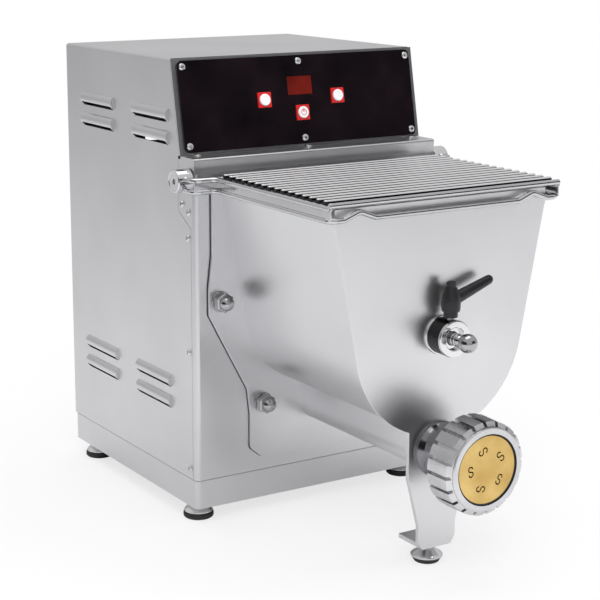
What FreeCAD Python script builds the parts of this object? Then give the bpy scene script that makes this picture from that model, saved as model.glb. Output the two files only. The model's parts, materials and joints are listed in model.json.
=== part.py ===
"""Electric pasta maker: a table-top kneader and extruder with a stainless casing.

Millimetres. +X is the machine's right as seen from the front, +Y its rear and +Z up.
The origin is on the table, under the middle of the whole machine.
"""
import FreeCAD, Part
import Sketcher
import math
import os
import re

V = FreeCAD.Vector
doc = FreeCAD.newDocument("PastaMaker")

# Casing
case_width = 260  # casing across its sides
case_depth = 255  # front panel's face to rear panel's face
case_top = 420  # table to top sheet
base_bottom = 16  # table to underside of the base tray
base_top = 42.5  # table to the rim of the base tray
base_wall = 2  # base tray sheet
wall = 1.5  # casing sheet
seam = 0.3  # gap between neighbouring sheets
corner_round = 5  # outer radius of folded corners
return_depth = 6  # front panel's fold along the sides
tab_depth = 27.7  # front panel's screw tab, back from its face
tab_slope = 13  # height of the tab's sloped foot
tab_drop = 30  # lid's axis down to the top of the tab's slope
top_fold = 3  # outer radius of the top sheet's side folds
louvre_long = 66  # louvre length
louvre_tall = 12  # louvre height
louvre_proud = 3.5  # louvre height above the side sheet
louvre_slot = 3  # louvre's open slot
louvre_front = 78  # front column of louvres, back from the front panel
louvre_gap = 108  # front column to rear column
louvre_low = 107  # table to the lowest row of louvres
louvre_row = 20  # one louvre row to the next
louvre_drop = 70  # top sheet down to the upper pair's lower row
rear_vent_wide = 90  # rear panel vent slot, along X
rear_vent_tall = 4  # rear panel vent slot, height
rear_vent_pitch = 14  # rear panel vent slots, centre to centre
rear_vent_low = 250  # table to the lowest rear vent slot
# Console and ledge
console_low_y = 24  # front panel's face to the console's lower edge
console_tall = 84  # console's height
console_tilt = 11  # console's lean, in degrees
fascia_wall = 2  # fascia plate
fascia_margin = 4.5  # casing side to fascia plate
fascia_foot = 2  # console's lower edge to fascia plate
fascia_tall = 81  # fascia plate along the slope
fascia_round = 5  # fascia plate's corner radius
screw_inset_x = 5  # fascia edge to screw line, sideways
screw_inset_z = 5.5  # fascia edge to screw line, along the slope
screw_shank = 1.5  # small screw's shank radius
screw_head = 3.2  # small screw's head radius
screw_head_tall = 1.8  # small screw's head height
screw_grip = 6  # small screw's length under its head
side_screw_in = 5  # front panel's fold to the side screws
side_screw_drop = 9  # tab's foot down to the upper side screw
side_screw_mid = 161  # table to the middle side screw
side_screw_foot = 10  # base tray's rim to the lower side screw
display_wide = 27  # display window, width
display_tall = 17.5  # display window, height
display_up = 55.5  # console's lower edge to the display's middle
button_side = 39.6  # middle of the console to a side button
button_up = 44  # console's lower edge to the side buttons
button_mid_up = 30.5  # console's lower edge to the middle button
bezel_side = 14.5  # square button bezel
bezel_proud = 1.2  # bezel above the fascia
button_radius = 5.4  # button cap radius
button_proud = 1.5  # button cap above its bezel
button_travel = 1.2  # button's stroke
button_gap = 0.08  # button cap's running clearance
board_gap = 16  # console sheet to control board
board_wall = 1.6  # control board
board_wide = 120  # control board's width
board_tall = 60  # control board's height
board_low = 15.5  # console's lower edge to the board's foot
standoff_radius = 3  # control board's standoffs
switch_side = 6  # switch block under a button
ledge_tall = 13  # ledge's height
ledge_screw_in = 14  # casing side to a ledge screw
ledge_screw_back = 6  # console's foot forward to the ledge screws
# Kneading tub
auger_z = 104  # table to the auger's axis
belly_inset = 49.5  # casing side in to the tub's belly
wall_lean = 11  # tub side wall's outward lean, in degrees
tub_wall = 2  # tub sheet
rim_drop = 6  # lid's axis down to the tub's rim
tub_reach = 185  # front panel's face to the tub's front face
front_wall = 4  # tub's front plate
plate_rise = 6.5  # front plate's top over the tub's rim
flange_wall = 3  # tub's mounting flange
barrel_bore = 18.5  # auger channel's inner radius
plate_margin = 3.5  # front plate beyond the tub shell
leg_half = 31  # half the leg's width at its top
leg_shoulder = 82  # table to where the leg starts to taper
leg_ankle = 38  # table to where the taper ends
leg_toe = 19.5  # half the leg's width at its foot
leg_bottom = 16.5  # table to the leg's lower edge
toe_depth = 30  # leg's bent toe, back from the leg
flange_inset = 16  # casing side in to the flange's edge
flange_straight = 61  # tub's rim down to where the flange starts to bulge
flange_hip = 75  # half the flange's width at its foot
flange_low = 56  # table to the flange's lower edge
stud_inset = 24.5  # casing side in to an upper stud
stud_drop = 42.2  # flange's waist down to the upper studs
stud_low_x = 61.9  # middle to a lower stud
stud_low_z = 108.2  # table to the lower studs
stud_radius = 4  # flange stud
nut_flats = 16  # acorn nut across its flats
nut_tall = 8  # acorn nut's hexagon, height
nut_dome = 6.8  # acorn nut's dome radius
washer_radius = 9.5  # stud washer radius
stud_margin = 12  # upper stud to the flange's edge
washer_wall = 1.5  # stud washer
# Outlet
outlet_reach = 250  # front panel's face to the ring nut's face
collar_radius = 24.3  # nozzle collar on the front plate
collar_wall = 3  # nozzle collar's thickness
nozzle_head = 33  # nozzle's threaded head, radius
nozzle_head_long = 18  # nozzle's threaded head, length
ring_long = 29  # ring nut's length
ring_radius = 37.5  # ring nut's smooth front rim
ring_lobes = 20  # grip lobes round the ring nut
lobe_radius = 3.6  # one grip lobe's radius
lobe_circle = 36.6  # circle of the lobes' axes
rim_long = 3.5  # ring nut's smooth rim, length
die_radius = 32.4  # bronze die
die_wall = 9  # bronze die's thickness
die_window = 30.2  # ring nut's front opening radius
die_lip = 3  # ring nut's retaining lip
die_proud = 1.8  # die's boss in the lip's opening
die_gap = 1.6  # gap between the die's boss and the lip
slot_circle = 16.5  # circle of the die's slots
slot_count = 5  # die slots
slot_start = 33  # first die slot's direction, in degrees
slot_bend = 2.1  # die slot's bend radius
slot_wide = 1  # die slot's width
seal_wall = 1.5  # die seal's thickness
thread_play = 0.08  # ring nut's running clearance
# Front bearing of the paddle
boss_radius = 15.8  # paddle bearing boss
boss_long = 19  # paddle bearing boss, length
lever_share = 0.62  # lever's place along the boss, from the tub
boss_recess = 9.5  # recess round the locking pin, radius
boss_recess_deep = 4  # recess round the locking pin, depth
pin_radius = 6  # locking pin
pin_tip = 22  # locking pin's reach into the tub
pin_neck = 3.5  # ball knob's neck radius
ball_radius = 8  # ball knob
ball_reach = 35  # tub's front face to the ball's centre
shaft_play = 0.06  # running clearance of shafts
lever_base = 1.6  # gap between boss and lever
lever_collar = 6.2  # lever hub's collar radius
lever_collar_tall = 6  # lever hub's collar height
lever_hub = 9  # lever hub's largest radius
lever_hub_tall = 20  # lever hub's height over the collar
lever_hub_top = 6.4  # lever hub's radius at its top
lever_arm = 41  # lever hub's axis to the arm's tip
lever_rise = 17  # arm's rise above horizontal, in degrees
lever_tip = 4  # arm's radius at its tip
lever_root = 5.6  # arm's radius at the hub
lever_screw = 3  # clamping screw's radius
cap_radius = 4  # lever's push cap, radius
cap_tall = 6  # lever's push cap, height
# Working parts in the tub
auger_core = 7  # auger's core radius
auger_pitch = 31  # auger's pitch
auger_flight = 5  # auger flight's thickness
auger_play = 0.6  # auger to barrel
paddle_hub = 12  # paddle's hub radius
paddle_play = 6.5  # tub's belly in to the blades' outer edge
paddle_bar = 5  # paddle's bar radius
socket_deep = 30  # paddle hub's socket for its shaft
end_gap = 4  # paddle to the tub's ends
# Drive
gear_module = 3  # module of the slow gears
auger_teeth = 30  # teeth on the auger's gear
paddle_teeth = 36  # teeth on the paddle's gear
lay_teeth = 14  # teeth on the layshaft's pinion
fast_module = 1.5  # module of the fast gears
wheel_teeth = 72  # teeth on the layshaft's wheel
rotor_teeth = 13  # teeth on the motor's pinion
backlash = 0.25  # play between gear flanks
lay_angle = 20  # layshaft's direction from the auger, in degrees
motor_angle = 59  # motor's direction from the layshaft, in degrees
plate_thick = 8  # drive plates
drive_gap = 62  # front drive plate to rear drive plate
gear_start = 12  # front drive plate to the slow gears
gear_face = 14  # slow gears' width
wheel_start = 34  # front drive plate to the fast gears
wheel_face = 10  # fast gears' width
shaft_radius = 8  # auger and paddle drive shafts
bearing_radius = 16  # shaft bearings, outside
bearing_wide = 6  # shaft bearings, width
lay_shaft = 6  # layshaft radius
lay_bearing = 11  # layshaft bearings, outside
seal_radius = 13  # shaft seal at the tub, outside
seal_wide = 3  # shaft seal at the tub, width
motor_radius = 55  # motor housing
motor_long = 105  # motor housing's length
motor_wall = 6  # motor housing's wall
motor_rib = 2  # motor housing's cooling rib, radius
rotor_radius = 34  # motor's rotor
rotor_shaft = 6  # motor shaft
cowl_long = 38  # fan cowl's length
cowl_wall = 1.5  # fan cowl's wall
fan_radius = 42  # motor fan
fan_blades = 7  # motor fan's blades
fan_disc = 2  # motor fan's disc, thickness
fan_blade = 1.5  # motor fan's blade, thickness
fan_hub = 6  # motor fan's hub over the shaft
fan_back = 6  # motor housing to the fan
post_side = 9  # corner posts' front leg
post_deep = 26  # corner posts' side leg
post_sheet = 2  # corner posts' sheet
capacitor_radius = 19  # run capacitor
capacitor_long = 70  # run capacitor's length
block_long = 50  # terminal block's length
block_wide = 20  # terminal block's width
block_tall = 18  # terminal block's height
block_back = 40  # rear panel to the terminal block
block_off = 45  # middle to the terminal block's left end
well_pitch = 10  # terminal block's wells, centre to centre
# Lid
hinge_y = 8  # front panel's face back to the lid's axis
hinge_drop = 6  # ledge's lower edge down to the lid's axis
hub_radius = 10.5  # lid hub
hub_start = 1  # casing side to lid hub
hub_long = 15  # lid hub's length
hinge_pin = 4  # lid's hinge pin radius
cam_radius = 4.9  # switch cam on the left hinge pin
cam_off = 1  # switch cam's axis off the hinge axis
switch_gap = 0.6  # cam to lid switch at rest
rod_radius = 2.4  # lid's frame rod
lid_inset = 14  # casing side in to the lid's side rods
rear_rod_y = 15.5  # front panel's face forward to the rear rod
lid_reach = 191  # front panel's face to the lid's front rod
rod_drop = 7.4  # lid's axis down to the lower rod's axis
rod_rise = 2.5  # lid's axis up to the upper rod's axis
strip_wall = 1.5  # lid's side strip
bend_round = 7  # rods' bend radius
wire_radius = 2.3  # lid's cross wire
wire_count = 16  # lid's cross wires
weld_sink = 0.9  # depth that a wire sinks in the rod it is welded to
wave_inset = 28  # lid's side to the middle of a wave
wave_half = 15  # half a wave's length at its foot
# Feet and gland
foot_radius = 14  # foot's rubber pad
foot_inset_x = 15  # casing side to a foot's axis
foot_inset_y = 24  # casing front or rear to a foot's axis
foot_pad_tall = 6  # foot's rubber pad, height
foot_stud = 4  # foot's stud radius
foot_stud_long = 12  # foot's stud above its cup
foot_cup_slope = 5  # foot cup's radius less its neck
toe_foot_y = 171.5  # front panel's face forward to the leg's foot
gland_reach = 15  # rear panel to the gland's end
gland_radius = 9  # gland's nut radius
gland_bore = 4.5  # gland's cord hole radius
gland_inset = 45  # casing side in to the gland
gland_z = 75  # table to the gland

sheet = doc.addObject("Spreadsheet::Sheet", "Sizes")
aliases = [name for name, value in list(globals().items()) if type(value) in (int, float)]
for row, alias in enumerate(aliases, 1):
    sheet.set("A%d" % row, alias.replace("_", " "))
    sheet.set("B%d" % row, str(globals()[alias]))
    sheet.setAlias("B%d" % row, alias)

# Sizes that follow from others, as formulas in the sheet
FOLLOWS = {
    "console_low_z": "case_top - console_tall",
    "louvre_high": "case_top - louvre_drop",
    "ledge_low": "console_low_z - ledge_tall",
    "hinge_z": "ledge_low - hinge_drop",
    "tub_top": "hinge_z - rim_drop",
    "rod_low": "hinge_z - rod_drop",
    "rod_high": "hinge_z + rod_rise",
    "tab_shoulder": "hinge_z - tab_drop",
    "tab_foot": "tab_shoulder - tab_slope",
    "side_screw_top": "tab_foot - side_screw_drop",
    "side_screw_low": "base_top + side_screw_foot",
    "flange_waist": "tub_top - flange_straight",
    "stud_high_z": "flange_waist - stud_drop",
    "belly_bore": "case_width / 2 - belly_inset",
    "flange_half": "case_width / 2 - flange_inset",
    "stud_high_x": "case_width / 2 - stud_inset",
    "paddle_swing": "belly_bore - paddle_play",
    "lid_half": "case_width / 2 - lid_inset",
    "gland_x": "case_width / 2 - gland_inset"}
for alias, formula in FOLLOWS.items():
    aliases.append(alias)
    sheet.set("A%d" % len(aliases), alias.replace("_", " "))
    sheet.set("B%d" % len(aliases), "=" + formula)
    sheet.setAlias("B%d" % len(aliases), alias)
doc.recompute()


def num(alias):
    """A driving dimension as a number."""
    return float(sheet.get(alias))


WORD = re.compile(r"[A-Za-z_]\w*")


def cells(text):
    """An expression in which each alias is read from the sheet."""
    return WORD.sub(lambda hit: "Sizes." + hit.group(0) if hit.group(0) in aliases else hit.group(0), str(text))


# Places that several pieces share, as expressions of the driving dimensions
FRONT = "((outlet_reach - case_depth - gland_reach) / 2)"
REAR = "(%s + case_depth)" % FRONT
HALF = "(case_width / 2)"
AXIS_GAP = "(gear_module * (auger_teeth + paddle_teeth) / 2)"
PADDLE_Z = "(auger_z + %s)" % AXIS_GAP
TUB_FRONT = "(%s - tub_reach)" % FRONT
TUB_BACK = "(%s - flange_wall)" % FRONT
SHELL_FRONT = "(%s + front_wall)" % TUB_FRONT
BELLY = "(belly_bore + tub_wall)"
BARREL = "(barrel_bore + tub_wall)"
PLATE_1 = "(%s + wall)" % FRONT
PLATE_1_BACK = "(%s + plate_thick)" % PLATE_1
PLATE_2 = "(%s + drive_gap)" % PLATE_1_BACK
PLATE_2_BACK = "(%s + plate_thick)" % PLATE_2
LAY_GAP = "(gear_module * (auger_teeth + lay_teeth) / 2)"
LAY_X = "(0 - %s * cos(lay_angle))" % LAY_GAP
LAY_Z = "(auger_z + %s * sin(lay_angle))" % LAY_GAP
MOTOR_GAP = "(fast_module * (wheel_teeth + rotor_teeth) / 2)"
MOTOR_X = "(%s + %s * cos(motor_angle))" % (LAY_X, MOTOR_GAP)
MOTOR_Z = "(%s + %s * sin(motor_angle))" % (LAY_Z, MOTOR_GAP)
RING_FRONT = "(%s - outlet_reach)" % FRONT
RING_BACK = "(%s + ring_long)" % RING_FRONT
DIE_FRONT = "(%s + die_lip)" % RING_FRONT
HEAD_FRONT = "(%s + die_wall + seal_wall)" % DIE_FRONT
HINGE_Y = "(%s + hinge_y)" % FRONT
LEVER_Y = "(%s - boss_long * lever_share)" % TUB_FRONT
LEVER_Z = "(%s + boss_radius + lever_base)" % PADDLE_Z
BALL_Y = "(%s - ball_reach)" % TUB_FRONT

value_probe = doc.addObject("App::FeaturePython", "Places")


def place(name, text):
    """The number that a shared place has now, kept as a property of the document."""
    value_probe.addProperty("App::PropertyFloat", name)
    value_probe.setExpression(name, cells(text))


for place_name, place_text in (
        ("front", FRONT), ("paddle_z", PADDLE_Z), ("plate_1_back", PLATE_1_BACK), ("lay_x", LAY_X),
        ("lay_z", LAY_Z), ("motor_x", MOTOR_X), ("motor_z", MOTOR_Z), ("ring_front", RING_FRONT),
        ("hinge_y_at", HINGE_Y), ("head_front", HEAD_FRONT)):
    place(place_name, place_text)
doc.recompute()

nodes = []
counter = [0]


def fresh(stem):
    """A name for an object that only serves another one."""
    counter[0] += 1
    return "%s_%03d" % (stem, counter[0])


def node(label, thing):
    """Marks a finished sub-part."""
    thing.Label = label
    nodes.append(thing)
    return thing


def primitive(kind, sizes, at, turn=None):
    """A Part primitive whose sizes and place follow the sheet."""
    thing = doc.addObject("Part::" + kind, fresh(kind.lower()))
    if turn:
        thing.Placement = FreeCAD.Placement(V(0, 0, 0), FreeCAD.Rotation(V(*turn[0]), turn[1]))
    for name, text in sizes.items():
        thing.setExpression(name, cells(text))
    for name, text in zip("xyz", at):
        thing.setExpression("Placement.Base." + name, cells(text))
    return thing


def box(x, y, z):
    """A box given by its low and high bounds."""
    spans = {"Length": x, "Width": y, "Height": z}
    sizes = {name: "(%s) - (%s)" % (high, low) for name, (low, high) in spans.items()}
    return primitive("Box", sizes, (x[0], y[0], z[0]))


TURNS = {"x": ((0, 1, 0), 90), "y": ((1, 0, 0), -90), "z": None}


def spot(axis, across, start):
    """The corner of a round primitive that lies along one axis."""
    a, b = across
    return {"x": (start, a, b), "y": (a, start, b), "z": (a, b, start)}[axis]


def rod(axis, across, span, radius):
    """A cylinder along x, y or z."""
    sizes = {"Radius": radius, "Height": "(%s) - (%s)" % (span[1], span[0])}
    return primitive("Cylinder", sizes, spot(axis, across, span[0]), TURNS[axis])


def taper(axis, across, span, radii):
    """A cone frustum along x, y or z."""
    sizes = {"Radius1": radii[0], "Radius2": radii[1], "Height": "(%s) - (%s)" % (span[1], span[0])}
    return primitive("Cone", sizes, spot(axis, across, span[0]), TURNS[axis])


def ball(at, radius):
    return primitive("Sphere", {"Radius": radius}, at)


def fuse(*things):
    joined = doc.addObject("Part::MultiFuse", fresh("joined"))
    joined.Shapes = list(things)
    joined.Refine = True
    return joined


def cut(base, *tools):
    whole = doc.addObject("Part::Cut", fresh("cut"))
    whole.Base = base
    whole.Tool = tools[0] if len(tools) == 1 else fuse(*tools)
    whole.Refine = True
    return whole


def group(*things):
    bunch = doc.addObject("Part::Compound", fresh("bunch"))
    bunch.Links = list(things)
    return bunch


def shaped(label, shape):
    """A sub-part whose shape is worked out by the functions of this file."""
    thing = doc.addObject("Part::Feature", fresh("shaped"))
    thing.Shape = shape
    return node(label, thing)


def body_plane(body, role):
    return [item for item in body.Origin.OriginFeatures if item.Role == role][0]


def draw(body, role, start, loops):
    """A sketch at a distance from one of the body's planes; every point is held by the sheet.

    A loop is a list of corners, or a centre and a radius for a circle.
    """
    sketch = body.newObject("Sketcher::SketchObject", fresh("sketch"))
    sketch.AttachmentSupport = [(body_plane(body, role), "")]
    sketch.MapMode = "FlatFace"
    side = "0 - (%s)" % start if role == "XZ_Plane" else start
    sketch.setExpression("AttachmentOffset.Base.z", cells(side))
    for loop in loops:
        first = len(sketch.Geometry)
        if isinstance(loop, tuple):
            sketch.addGeometry(Part.Circle(V(first + 1, 1, 0), V(0, 0, 1), 3), False)
            held = [(first, 3, loop[0], loop[1])]
            rim = sketch.addConstraint(Sketcher.Constraint("Radius", first, 3.0))
            sketch.setExpression("Constraints[%d]" % rim, cells(loop[2]))
        else:
            count = len(loop)
            ring = [V(50 * math.cos(2 * math.pi * i / count), 50 * math.sin(2 * math.pi * i / count), 0)
                    for i in range(count)]
            for i in range(count):
                sketch.addGeometry(Part.LineSegment(ring[i], ring[(i + 1) % count]), False)
            for i in range(count):
                following = first + (i + 1) % count
                sketch.addConstraint(Sketcher.Constraint("Coincident", first + i, 2, following, 1))
            held = [(first + i, 1, corner[0], corner[1]) for i, corner in enumerate(loop)]
        for line, end, along, up in held:
            for kind, text in (("DistanceX", along), ("DistanceY", up)):
                index = sketch.addConstraint(Sketcher.Constraint(kind, -1, 1, line, end, 1.0))
                sketch.setExpression("Constraints[%d]" % index, cells(text))
    return sketch


def pad(body, role, span, loops):
    """Material between two places along the plane's axis."""
    feature = body.newObject("PartDesign::Pad", fresh("pad"))
    feature.Profile = draw(body, role, span[0], loops)
    feature.Reversed = role == "XZ_Plane"
    feature.setExpression("Length", cells("(%s) - (%s)" % (span[1], span[0])))
    return feature


def pocket(body, role, span, loops):
    """A cut between two places along the plane's axis."""
    feature = body.newObject("PartDesign::Pocket", fresh("pocket"))
    feature.Profile = draw(body, role, span[0], loops)
    feature.Reversed = role != "XZ_Plane"
    feature.setExpression("Length", cells("(%s) - (%s)" % (span[1], span[0])))
    return feature


def new_body():
    return doc.addObject("PartDesign::Body", fresh("body"))


def round_edges(body, radius, chosen):
    """A fillet on the edges of the body that a test picks."""
    doc.recompute()
    tip = body.Tip
    names = ["Edge%d" % (i + 1) for i, edge in enumerate(tip.Shape.Edges) if chosen(edge)]
    feature = body.newObject("PartDesign::Fillet", fresh("fillet"))
    feature.Base = (tip, names)
    feature.setExpression("Radius", cells(radius))
    return feature


def runs_along(edge, axis):
    """True for a straight edge parallel to an axis."""
    if not isinstance(edge.Curve, Part.Line):
        return False
    direction = edge.Curve.Direction
    return abs(abs(getattr(direction, axis)) - 1) < 1e-6


def rect(x, z):
    """A rectangle's corners from its bounds."""
    return [(x[0], z[0]), (x[1], z[0]), (x[1], z[1]), (x[0], z[1])]


def mirrored(points):
    """An outline's right half, from top to bottom, closed by its mirror image."""
    left = [("0 - (%s)" % along, up) for along, up in reversed(points)]
    return list(points) + left


def sides(text):
    """An expression and its mirror image across the middle plane."""
    return [text, "0 - (%s)" % text]


# Casing: base tray

foot_places = [(x, y) for x in sides("(%s - foot_inset_x)" % HALF)
               for y in ("(%s + foot_inset_y)" % FRONT, "(%s - foot_inset_y)" % REAR)]
tray = new_body()
pad(tray, "XY_Plane", ("base_bottom", "base_top"), [rect(("-%s" % HALF, HALF), (FRONT, REAR))])
round_edges(tray, "corner_round", lambda edge: runs_along(edge, "z"))
pocket(tray, "XY_Plane", ("base_bottom + base_wall", "base_top"),
       [rect(("-%s + base_wall" % HALF, "%s - base_wall" % HALF),
             ("%s + base_wall" % FRONT, "%s - base_wall" % REAR))])
pocket(tray, "XY_Plane", ("base_bottom", "base_bottom + base_wall"),
       [(x, y, "foot_stud + shaft_play") for x, y in foot_places])
node("base_tray", tray)

# Screws in the casing's sides, as places along Y and Z

TAB_Y = "(%s + tab_depth)" % FRONT
FOLD_Y = "(%s + return_depth)" % FRONT
side_screws = [("(%s + side_screw_in)" % FOLD_Y, z) for z in ("side_screw_top", "side_screw_mid", "side_screw_low")]
tab_screws = [("%s - 6.5" % TAB_Y, "tab_shoulder + 7"), ("%s - 18" % TAB_Y, "tab_shoulder + 1")]


def side_holes(places):
    """Cutters for the side screws' shanks, right through the casing."""
    return [rod("x", at, ("-%s - 1" % HALF, "%s + 1" % HALF), "screw_shank + shaft_play") for at in places]


# Casing: front panel, one sheet folded round both front corners, with a screw tab on each side

panel_foot = "(base_top + seam)"
panel_head = "(ledge_low - seam)"
inner_half = "(%s - wall)" % HALF
front_panel = new_body()
pad(front_panel, "YZ_Plane", ("-%s" % HALF, HALF),
    [[(FRONT, panel_foot), (FOLD_Y, panel_foot), (FOLD_Y, "tab_foot"), (TAB_Y, "tab_shoulder"),
      (TAB_Y, panel_head), (FRONT, panel_head)]])
round_edges(front_panel, "corner_round",
            lambda edge: runs_along(edge, "z") and edge.CenterOfMass.y < value_probe.front + 1)
pocket(front_panel, "YZ_Plane", ("-%s" % inner_half, inner_half),
       [rect(("%s + wall" % FRONT, "%s + 1" % TAB_Y), ("base_top", "ledge_low"))])
stud_places = [(x, "stud_high_z") for x in sides("stud_high_x")] + [(x, "stud_low_z") for x in sides("stud_low_x")]
panel_holes = [(x, z, "stud_radius + seam") for x, z in stud_places]
panel_holes += [("0", "auger_z", "seal_radius + seam"), ("0", PADDLE_Z, "seal_radius + seam")]
pocket(front_panel, "XZ_Plane", (FRONT, "%s + wall" % FRONT), panel_holes)
hinge_hole = rod("x", (HINGE_Y, "hinge_z"), ("-%s - 1" % HALF, "%s + 1" % HALF), "hinge_pin + 2")
node("front_panel", cut(front_panel, hinge_hole, *side_holes(tab_screws)))

# Casing: cover, one sheet over both sides and the top, with pressed louvres

SLOPE = "tan(console_tilt)"
CONSOLE_Y = "(%s + console_low_y)" % FRONT
console_back = "(wall + seam) / cos(console_tilt)"
cover_low_y = "(%s + %s)" % (CONSOLE_Y, console_back)
cover_high_y = "(%s + (case_top - console_low_z) * %s)" % (cover_low_y, SLOPE)
cover = new_body()
cover_outline = [
    ("%s + seam" % FOLD_Y, panel_foot), (REAR, panel_foot), (REAR, "case_top"), (cover_high_y, "case_top"),
    (cover_low_y, "console_low_z"), ("%s + seam" % TAB_Y, "console_low_z"),
    ("%s + seam" % TAB_Y, "tab_shoulder - seam"), ("%s + seam" % FOLD_Y, "tab_foot - seam")]
pad(cover, "YZ_Plane", ("-%s" % HALF, HALF), [cover_outline])
round_edges(cover, "top_fold",
            lambda edge: runs_along(edge, "y") and edge.CenterOfMass.z > num("case_top") - 1
            and abs(edge.CenterOfMass.x) > 1)
pocket(cover, "YZ_Plane", ("-%s" % inner_half, inner_half),
       [rect((FRONT, "%s + 1" % REAR), ("base_top - 1", "case_top - wall"))])

louvre_places = [(x_side, "%s + louvre_front + %s" % (FRONT, shift), "%s + %s" % (level, row))
                 for x_side in (-1, 1) for shift in ("0", "louvre_gap")
                 for level in ("louvre_low", "louvre_high") for row in ("0", "louvre_row")]
hood_radius = "((louvre_tall * louvre_tall / 4 + louvre_proud * louvre_proud) / (2 * louvre_proud))"
hoods = []
slots = []
for x_side, y, z in louvre_places:
    face_x = "%d * %s" % (x_side, HALF)
    reach = "%d * louvre_proud" % x_side
    centre_x = "%s + %d * (louvre_proud - %s)" % (face_x, x_side, hood_radius)
    span = ("%s - louvre_long / 2" % y, "%s + louvre_long / 2" % y)
    hoods.append(rod("y", (centre_x, z), span, hood_radius))
    slots.append(rod("y", (centre_x, z), ("%s + wall" % span[0], "%s - wall" % span[1]), "%s - wall" % hood_radius))
    low = ("%s - louvre_tall / 2 - 0.5" % z, "%s - louvre_tall / 2 + louvre_slot" % z)
    across = ("%s - louvre_proud - wall" % face_x, "%s + louvre_proud + 1" % face_x)
    slots.append(box(across, ("%s + wall" % span[0], "%s - wall" % span[1]), low))
outside = cut(fuse(*hoods), box(("-%s + wall" % HALF, "%s - wall" % HALF), (FRONT, REAR), ("0", "case_top")))
node("case_cover", cut(fuse(cover, outside), *slots, *side_holes(side_screws)))

# Casing: rear panel with vent slots and the gland's hole

rear_panel = new_body()
vents = [rect(("-rear_vent_wide / 2", "rear_vent_wide / 2"),
              ("rear_vent_low + %d * rear_vent_pitch - rear_vent_tall / 2" % i,
               "rear_vent_low + %d * rear_vent_pitch + rear_vent_tall / 2" % i)) for i in range(7)]
pad(rear_panel, "XZ_Plane", ("%s - wall" % REAR, REAR),
    [rect(("-%s + seam" % inner_half, "%s - seam" % inner_half), (panel_foot, "case_top - wall - seam"))])
pocket(rear_panel, "XZ_Plane", ("%s - wall" % REAR, REAR),
       vents + [("gland_x", "gland_z", "gland_bore + 3 + shaft_play")])
node("rear_panel", rear_panel)

# Console: every piece is drawn upright and leans back with the console

CONSOLE_LONG = "((case_top - console_low_z) / cos(console_tilt))"


def console_body():
    body = new_body()
    body.Placement = FreeCAD.Placement(V(0, 0, 0), FreeCAD.Rotation(V(1, 0, 0), 1))
    body.setExpression("Placement.Rotation.Angle", cells("0 - console_tilt"))
    body.setExpression("Placement.Base.y", cells(CONSOLE_Y))
    body.setExpression("Placement.Base.z", cells("console_low_z"))
    return body


fascia_half = "(%s - fascia_margin)" % HALF
fascia_screws = [(x, z) for x in ["0"] + sides("(%s - screw_inset_x)" % fascia_half)
                 for z in ("fascia_foot + screw_inset_z", "fascia_foot + fascia_tall - screw_inset_z")]
button_places = {"button_left": ("0 - button_side", "button_up"), "button_right": ("button_side", "button_up"),
                 "button_centre": ("0", "button_mid_up")}


def square(place_at, side):
    x, z = place_at
    return rect(("%s - (%s) / 2" % (x, side), "%s + (%s) / 2" % (x, side)),
                ("%s - (%s) / 2" % (z, side), "%s + (%s) / 2" % (z, side)))


display_frame = rect(("-display_wide / 2", "display_wide / 2"),
                     ("display_up - display_tall / 2", "display_up + display_tall / 2"))
console_sheet = console_body()
pad(console_sheet, "XZ_Plane", ("0", "wall"), [rect(("-%s" % HALF, HALF), ("seam", "%s - seam" % CONSOLE_LONG))])
pocket(console_sheet, "XZ_Plane", ("0", "wall"),
       [display_frame] + [square(at, "bezel_side - 1") for at in button_places.values()]
       + [(x, z, "screw_shank + shaft_play") for x, z in fascia_screws])
node("console_sheet", console_sheet)

fascia = console_body()
pad(fascia, "XZ_Plane", ("-fascia_wall", "0"),
    [rect(("-%s" % fascia_half, fascia_half), ("fascia_foot", "fascia_foot + fascia_tall"))])
round_edges(fascia, "fascia_round", lambda edge: edge.Length < num("fascia_wall") + 0.1)
pocket(fascia, "XZ_Plane", ("-fascia_wall", "0"),
       [display_frame] + [square(at, "bezel_side") for at in button_places.values()]
       + [(x, z, "screw_shank + shaft_play") for x, z in fascia_screws])
node("fascia_plate", fascia)

window = console_body()
window_frame = rect(("-display_wide / 2 + seam", "display_wide / 2 - seam"),
                    ("display_up - display_tall / 2 + seam", "display_up + display_tall / 2 - seam"))
pad(window, "XZ_Plane", ("-fascia_wall + 0.5", "wall"), [window_frame])
node("display_window", window)

bezels = []
for at in button_places.values():
    bezel = console_body()
    pad(bezel, "XZ_Plane", ("-fascia_wall - bezel_proud", "0"), [square(at, "bezel_side - 2 * seam")])
    pocket(bezel, "XZ_Plane", ("-fascia_wall - bezel_proud", "0"), [(at[0], at[1], "button_radius + button_gap")])
    bezels.append(bezel)
node("button_bezels", group(*bezels))

for label, at in button_places.items():
    button = console_body()
    top = "-fascia_wall - bezel_proud - button_proud"
    pad(button, "XZ_Plane", (top, "-0.3"), [(at[0], at[1], "button_radius")])
    pad(button, "XZ_Plane", ("-0.3", "board_gap / 2 - button_travel - 0.3"), [(at[0], at[1], "button_radius / 2")])
    node(label, button)

board = console_body()
pad(board, "XZ_Plane", ("board_gap", "board_gap + board_wall"),
    [rect(("-board_wide / 2", "board_wide / 2"), ("board_low", "board_low + board_tall"))])
for at in button_places.values():
    pad(board, "XZ_Plane", ("board_gap / 2 + 0.3", "board_gap"), [square(at, "switch_side")])
standoff_in = "(standoff_radius + 2)"
standoffs = [(x, z, "standoff_radius") for x in sides("(board_wide / 2 - %s)" % standoff_in)
             for z in ("board_low + %s" % standoff_in, "board_low + board_tall - %s" % standoff_in)]
for standoff in standoffs:
    pad(board, "XZ_Plane", ("wall", "board_gap"), [standoff])
node("control_board", board)

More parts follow.
